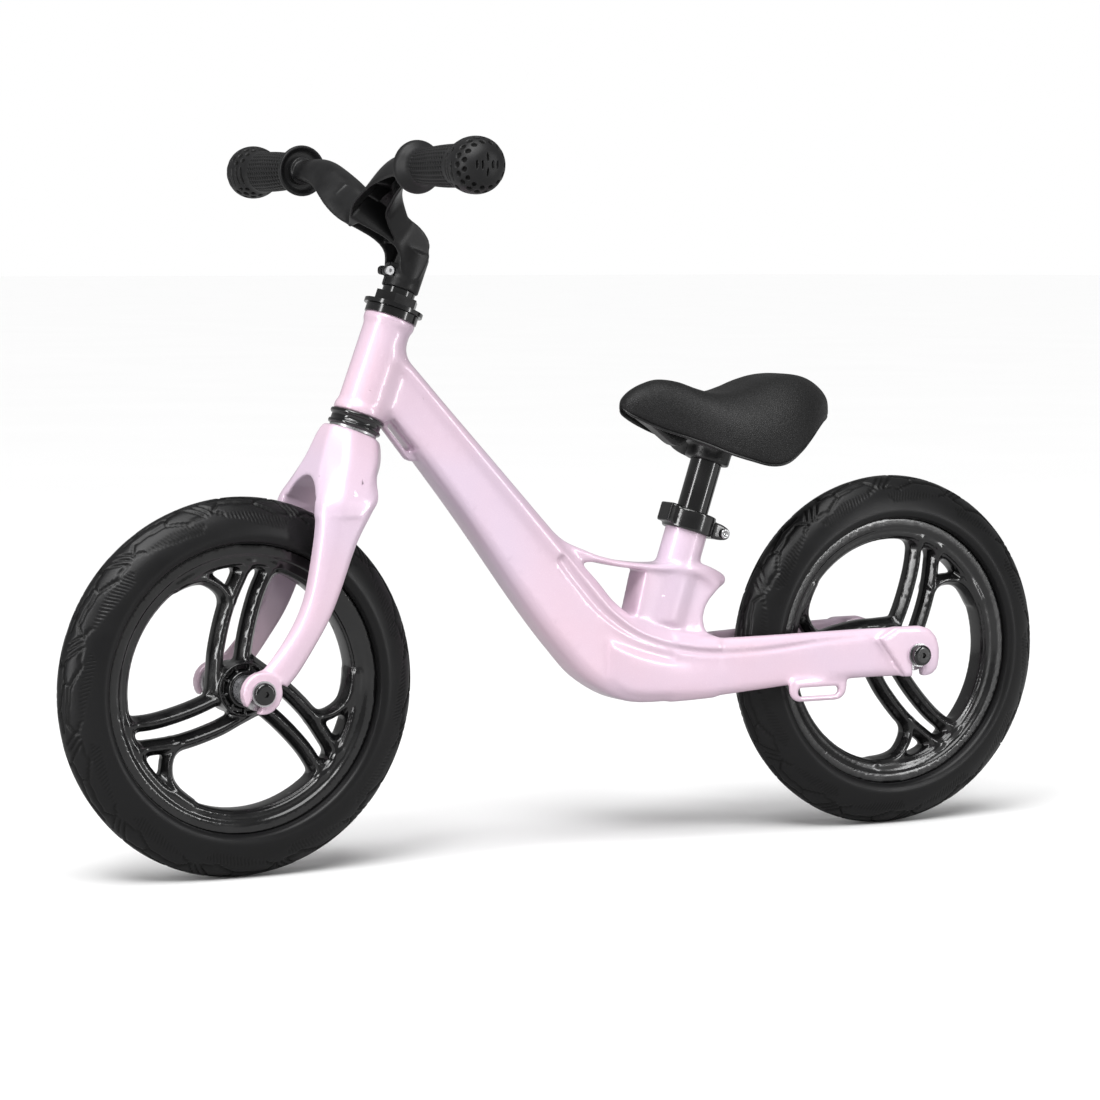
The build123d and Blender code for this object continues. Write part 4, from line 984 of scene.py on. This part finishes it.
def padded_saddle():
    """Sections across the saddle. Outside, half a section is a dome: width times sine of an angle
    to a power, height from rim to middle times cosine to a power, a little fuller at the hips.
    At the rim the cover turns in over a groove and the thin lip of the base, and the underside
    is the same dome drawn in by the padding. Returns points, triangles and where the cover is."""
    table = through(np.array(SADDLE), 210)
    x, w, top, rim = table.T[:, :, None]
    a = np.radians(np.linspace(0, 90, 64))
    share = np.sin(a) ** 0.86
    wide = np.clip((w - 20) / 40, 0, 1)
    hips = 2.0 * wide * np.exp(-((share - 0.5) / 0.26) ** 2)
    power = 0.62 + 0.20 * wide
    outer = np.stack([np.broadcast_to(x, (210, 64)), w * share,
                      rim + (top - rim) * np.cos(a) ** power + hips * np.cos(a)], -1)
    small = np.clip(w / 9, 0.1, 1)
    turn = np.array([(-0.35, -0.6), (-1.0, -0.9), (-1.3, -1.1), (-1.3, -1.6), (-0.7, -1.8), (-0.7,
                                                                                             -2.9),
                     (-1.1, -3.3), (-2.4, -3.3), (-2.8, -2.9)])
    fold = np.stack([np.broadcast_to(x, (210, 9)), w + small * turn[:, 0], rim + small * turn[:,
                                                                                              1]], -1)
    pad = np.minimum(15.0, (top - rim) * 0.5)
    b = a[::-1][2:]
    inner = np.stack([np.broadcast_to(x, (210, 62)),
                      np.maximum(w - small * 3.0 - 1.6 * wide, 0.3) * np.sin(b),
                      rim - small * 2.4 + np.maximum(top - rim - pad, 0.3) * np.cos(b) ** 0.5], -1)
    half = np.concatenate([outer, fold, inner[:, :-1]], 1)
    cover = np.concatenate([np.ones(64), np.ones(3), np.zeros(67)])
    ring = np.concatenate([half, inner[:, -1:], half[:, :0:-1] * [1, -1, 1]], 1)
    marks = np.concatenate([cover, [0], cover[:0:-1]])
    points, faces = skin(ring)
    return points, faces, np.concatenate([np.tile(marks, 210), [0, 0]])


def turned(rows, middle, up, count=48):
    """Surface turned about a line through a point, from rows of distance along and radius."""
    up = np.array(up, float)
    side = np.cross(up, (0.3, 0.2, 1.0) if abs(up[1]) > 0.5 else LEFT)
    side /= np.linalg.norm(side)
    other = np.cross(up, side)
    angle = np.linspace(0, 2 * np.pi, count, endpoint=False)[None, :, None]
    along, radius = np.array(rows, float).T[:, :, None, None]
    return skin(np.array(middle) + along * up + radius * (np.cos(angle) * side + np.sin(angle) * other))


def side_outline(pairs):
    """Outline in the plane of symmetry from distances (front, up) from the seat tube's top."""
    points = [SEAT_TOP + f * SEAT_FRONT + u * SEAT_UP for f, u in pairs]
    return [(p[0], p[2]) for p in points]


def cast_carrier():
    """Bracket on the post melted into the base's belly below the nose, with a side screw."""
    field = Field((-162, -30, 296), (-40, 30, 352), 0.9)
    field.add(field.of_cylinder(SEAT_TOP, SEAT_UP, 18.0, 43.5, 62), 0.01)
    field.add(field.of_plate(side_outline([(22, 55), (24, 78), (-26, 82), (-24, 56)]), -15, 15), 3)
    belly = rounded([(-50.0, 342.5), (-56.0, 336.0), (-66.0, 330.0), (-77.0, 321.0), (-85.0, 315.0),
                     (-92.0, 314.5), (-98.0, 321.0), (-104.0, 334.0), (-88.0, 346.0), (-64.0,
                                                                                       349.0)], 6)
    field.add(field.of_plate(belly, -7.5, 7.5), 5)
    field.add(field.of_cylinder(SEAT_TOP + 58 * SEAT_UP + 7 * SEAT_FRONT, LEFT, 5.2, 0, 18.4), 1.5)
    field.soften(2)
    field.cut(field.of_cylinder(SEAT_TOP + 58 * SEAT_UP + 7 * SEAT_FRONT, LEFT, 3.4, 16.6, 30), 0.4)
    field.cut(field.of_cylinder(SEAT_TOP, SEAT_UP, 12.75, 30, 52), 0.4)
    return field.surface()


def cast_clamp():
    """Seat clamp: band round the tube with an inward lip, a lug in front and a round split ear."""
    field = Field((-152, -24, 236), (-66, 24, 290), 0.7)
    field.add(field.of_cylinder(SEAT_TOP, SEAT_UP, 20.4, -14.6, 1.9), 0.01)
    ear = rounded(side_outline([(-12, -13.4), (-12, -0.8), (-27, -0.4), (-35.8, -3.2), (-36.0,
                                                                                        -10.6),
                                (-27, -13.6)]), 4)
    field.add(field.of_plate(ear, -7.4, 7.4), 2.2)
    field.add(field.of_plate(side_outline([(12, -12), (12, 3.4), (24.6, 3.4), (24.6, -12)]), -9,
                             9), 2)
    field.soften(2)
    field.cut(field.of_cylinder(SEAT_TOP, SEAT_UP, 17.05, -30, 0), 0.3)
    field.cut(field.of_cylinder(SEAT_TOP, SEAT_UP, 13.2, -5, 12), 0.3)
    field.cut(field.of_plate(side_outline([(-11, 8), (-11, -20), (-45, -20), (-45, 8)]), -1.1,
                             1.1), 0.4)
    field.cut(field.of_cylinder(SEAT_TOP - 7 * SEAT_UP - 30 * SEAT_FRONT, LEFT, 2.8, -20, 20), 0.3)
    return field.surface()


def build_saddle():
    """Saddle with its leather cover outside and moulded plastic below, its bracket, the seat
    clamp and the clamp's screw."""
    points, faces, cover = padded_saddle()
    saddle = piece("padded_saddle", points, faces, LEATHER, "seat", "saddle_cover", ["saddle"])
    saddle.data.materials.append(SADDLE_PLASTIC)
    corners = np.zeros(len(saddle.data.loops), np.int32)
    saddle.data.loops.foreach_get("vertex_index", corners)
    below = (cover[corners.reshape(-1, 3)].mean(1) < 0.5).astype(np.int32)
    saddle.data.polygons.foreach_set("material_index", below)
    piece("saddle_carrier", *cast_carrier(), SADDLE_PLASTIC, "seat", "black_steel",
          ["saddle_bracket"])
    piece("seat_clamp_casting", *cast_clamp(), BLACK_STEEL, "frame", "black_steel", ["seat_clamp"])
    screw = turned([(-11.0, 0.2), (-11.0, 4.2), (-7.6, 4.2), (-7.5, 2.5), (7.5, 2.5), (7.6, 4.0),
                    (9.4, 4.0), (9.9, 3.5), (9.9, 1.9), (8.2, 1.8), (8.2, 0.2)],
                   SEAT_TOP - 7 * SEAT_UP - 30 * SEAT_FRONT, LEFT)
    piece("seat_clamp_screw", *screw, BRIGHT_STEEL, "frame", "bright_steel", ["seat_clamp_bolt"])


def lower_cup():
    """Lower headset cup with a rounded bead at both rims."""
    return turned([(-11.4, 13.0), (-11.4, 19.4), (-10.9, 20.3), (-9.6, 20.7), (-8.5, 20.2), (-8.1,
                                                                                             19.3),
                   (-3.8, 19.3), (-3.4, 20.4), (-2.5, 21.1), (-1.0, 21.1), (-0.4, 20.6), (-0.1,
                                                                                          19.2),
                   (-0.1, 13.0)], HEAD_LOW, STEER_UP, 96)


# ---- putting the pieces together ----------------------------------------
for names, material in (
    (("frame", "fork"), PEARL),
    (("front_tyre", "rear_tyre"), FOAM),
    (("front_rim", "rear_rim"), RIM_PLASTIC),
    (("handlebar",), BAR_CASTING),
    (("grip_left", "grip_right"), GRIP_RUBBER),
    (("saddle",), LEATHER),
    (("front_axle", "rear_axle", "front_axle_spacers", "rear_axle_spacers", "front_axle_washers",
      "rear_axle_washers", "crown_race", "stem_clamp_bolt", "seat_clamp_bolt"), BRIGHT_STEEL),
    (("front_hub_bearings", "rear_hub_bearings", "lower_steering_bearing",
      "upper_steering_bearing"),
     BEARING_STEEL),
    (("front_axle_bolts", "rear_axle_bolts", "lower_headset_cup", "upper_headset_cup",
      "headset_dust_washer", "headset_lock_nut", "steerer_tube", "seat_post", "seat_clamp",
      "saddle_bracket"), BLACK_STEEL),
):
    for node in names:
        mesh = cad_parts[node].data
        mesh.materials.clear()
        mesh.materials.append(material)

piece("frame_casting", *cast_frame(), PEARL, "frame", "cast_paint", ["frame"])
piece("fork_casting", *cast_fork(), PEARL, "fork", "cast_paint", ["fork"])
build_wheels()
piece("handlebar_casting", *cast_bar(), BAR_CASTING, "handlebar", "bar_casting", ["handlebar"])
for side, hand in (("left", 1), ("right", -1)):
    points, faces, depth = grip_surface(hand)
    grip = piece(side + "_hand_grip", points, faces, GRIP_RUBBER, "handlebar", "grip_rubber",
                 ["grip_" + side])
    # dimple depth per point, which the grip material reads to paint shade into the dimples and to roughen
    # them
    attribute(grip, "dimples", np.clip(depth, 0, 1))
build_saddle()
piece("lower_cup_bead", *lower_cup(), BLACK_STEEL, "frame", "black_steel", ["lower_headset_cup"])


# ---- floor, light and camera --------------------------------------------
def softbox(name, place, aim, size, power, colour=(1, 1, 1)):
    """Rectangular soft light at a place, facing a point."""
    data = bpy.data.lights.new(name, "AREA")
    data.shape = "RECTANGLE"
    data.size, data.size_y = size
    data.energy = power
    data.color = colour
    obj = bpy.data.objects.new(name, data)
    bpy.context.scene.collection.objects.link(obj)
    obj.location = place
    direction = np.array(aim) - np.array(place)
    yaw = np.arctan2(direction[1], direction[0]) - np.pi / 2
    pitch = np.arctan2(direction[2], np.hypot(direction[0], direction[1]))
    obj.rotation_euler = Euler((pitch + np.pi / 2, 0, yaw))
    return obj


def pale_floor():
    """Wide pale floor with a slow drift of tone, dimmer in what it throws back on the bike."""
    mesh = bpy.data.meshes.new("studio_floor")
    corners = np.array([(-40, -40, 0), (40, -40, 0), (40, 40, 0), (-40, 40, 0)], float)
    mesh.from_pydata(corners.tolist(), [], [(0, 1, 2, 3)])
    m, shader, place = finish_named("floor_paper", (0.90, 0.90, 0.90), 0.7)
    paper = between(m, noise(m, place, 2, 2), (0.90, 0.90, 0.90), (0.93, 0.93, 0.93))
    shade = m.node_tree.nodes.new("ShaderNodeMix")
    shade.data_type = "RGBA"
    shade.inputs["A"].default_value = (0.42, 0.42, 0.42, 1)
    m.node_tree.links.new(paper, shade.inputs["B"])
    seen = m.node_tree.nodes.new("ShaderNodeLightPath").outputs["Is Camera Ray"]
    m.node_tree.links.new(seen, shade.inputs["Factor"])
    m.node_tree.links.new(shade.outputs["Result"], shader.inputs["Base Color"])
    mesh.materials.append(m)
    floor = bpy.data.objects.new("studio_floor", mesh)
    bpy.context.scene.collection.objects.link(floor)


def set_scene():
    """World, lights and the camera. The air is white to look at and dimmer as a light, so that
    black pieces stay deep; a wide sun brings the floor to white."""
    world = bpy.data.worlds.new("studio_air")
    bpy.context.scene.world = world
    world.use_nodes = True
    nodes, links = world.node_tree.nodes, world.node_tree.links
    background = nodes["Background"]
    background.inputs["Color"].default_value = (1, 1, 1, 1)
    seen = nodes.new("ShaderNodeLightPath")
    strength = nodes.new("ShaderNodeMapRange")
    strength.inputs["To Min"].default_value = 0.27
    strength.inputs["To Max"].default_value = 1.0
    links.new(seen.outputs["Is Camera Ray"], strength.inputs["Value"])
    links.new(strength.outputs["Result"], background.inputs["Strength"])
    sun = bpy.data.lights.new("sky_light", "SUN")
    sun.energy = 3.1
    sun.angle = 0.9
    overhead = bpy.data.objects.new("sky_light", sun)
    bpy.context.scene.collection.objects.link(overhead)
    overhead.rotation_euler = Euler((np.radians(-22), np.radians(14), 0))
    softbox("key_light", (1.6, 1.5, 2.4), (0, 0, 0.25), (0.8, 0.8), 20)
    softbox("front_light", (2.4, 0.6, 0.8), (0, 0, 0.3), (0.35, 1.8), 26)
    softbox("rear_light", (-1.6, 2.2, 0.7), (0, 0, 0.3), (0.25, 1.8), 20)
    camera = bpy.data.cameras.new("camera")
    camera.lens = 123.96
    camera.sensor_width = 36.0
    camera.clip_end = 50
    viewer = bpy.data.objects.new("camera", camera)
    bpy.context.scene.collection.objects.link(viewer)
    viewer.location = (1.4324, 2.5842, 0.4792)
    viewer.rotation_euler = Euler((np.radians(90 - 4.721), np.radians(-0.148),
                                   np.radians(151.4116)))
    bpy.context.scene.camera = viewer
    bpy.context.scene.view_settings.view_transform = "Standard"


pale_floor()
set_scene()
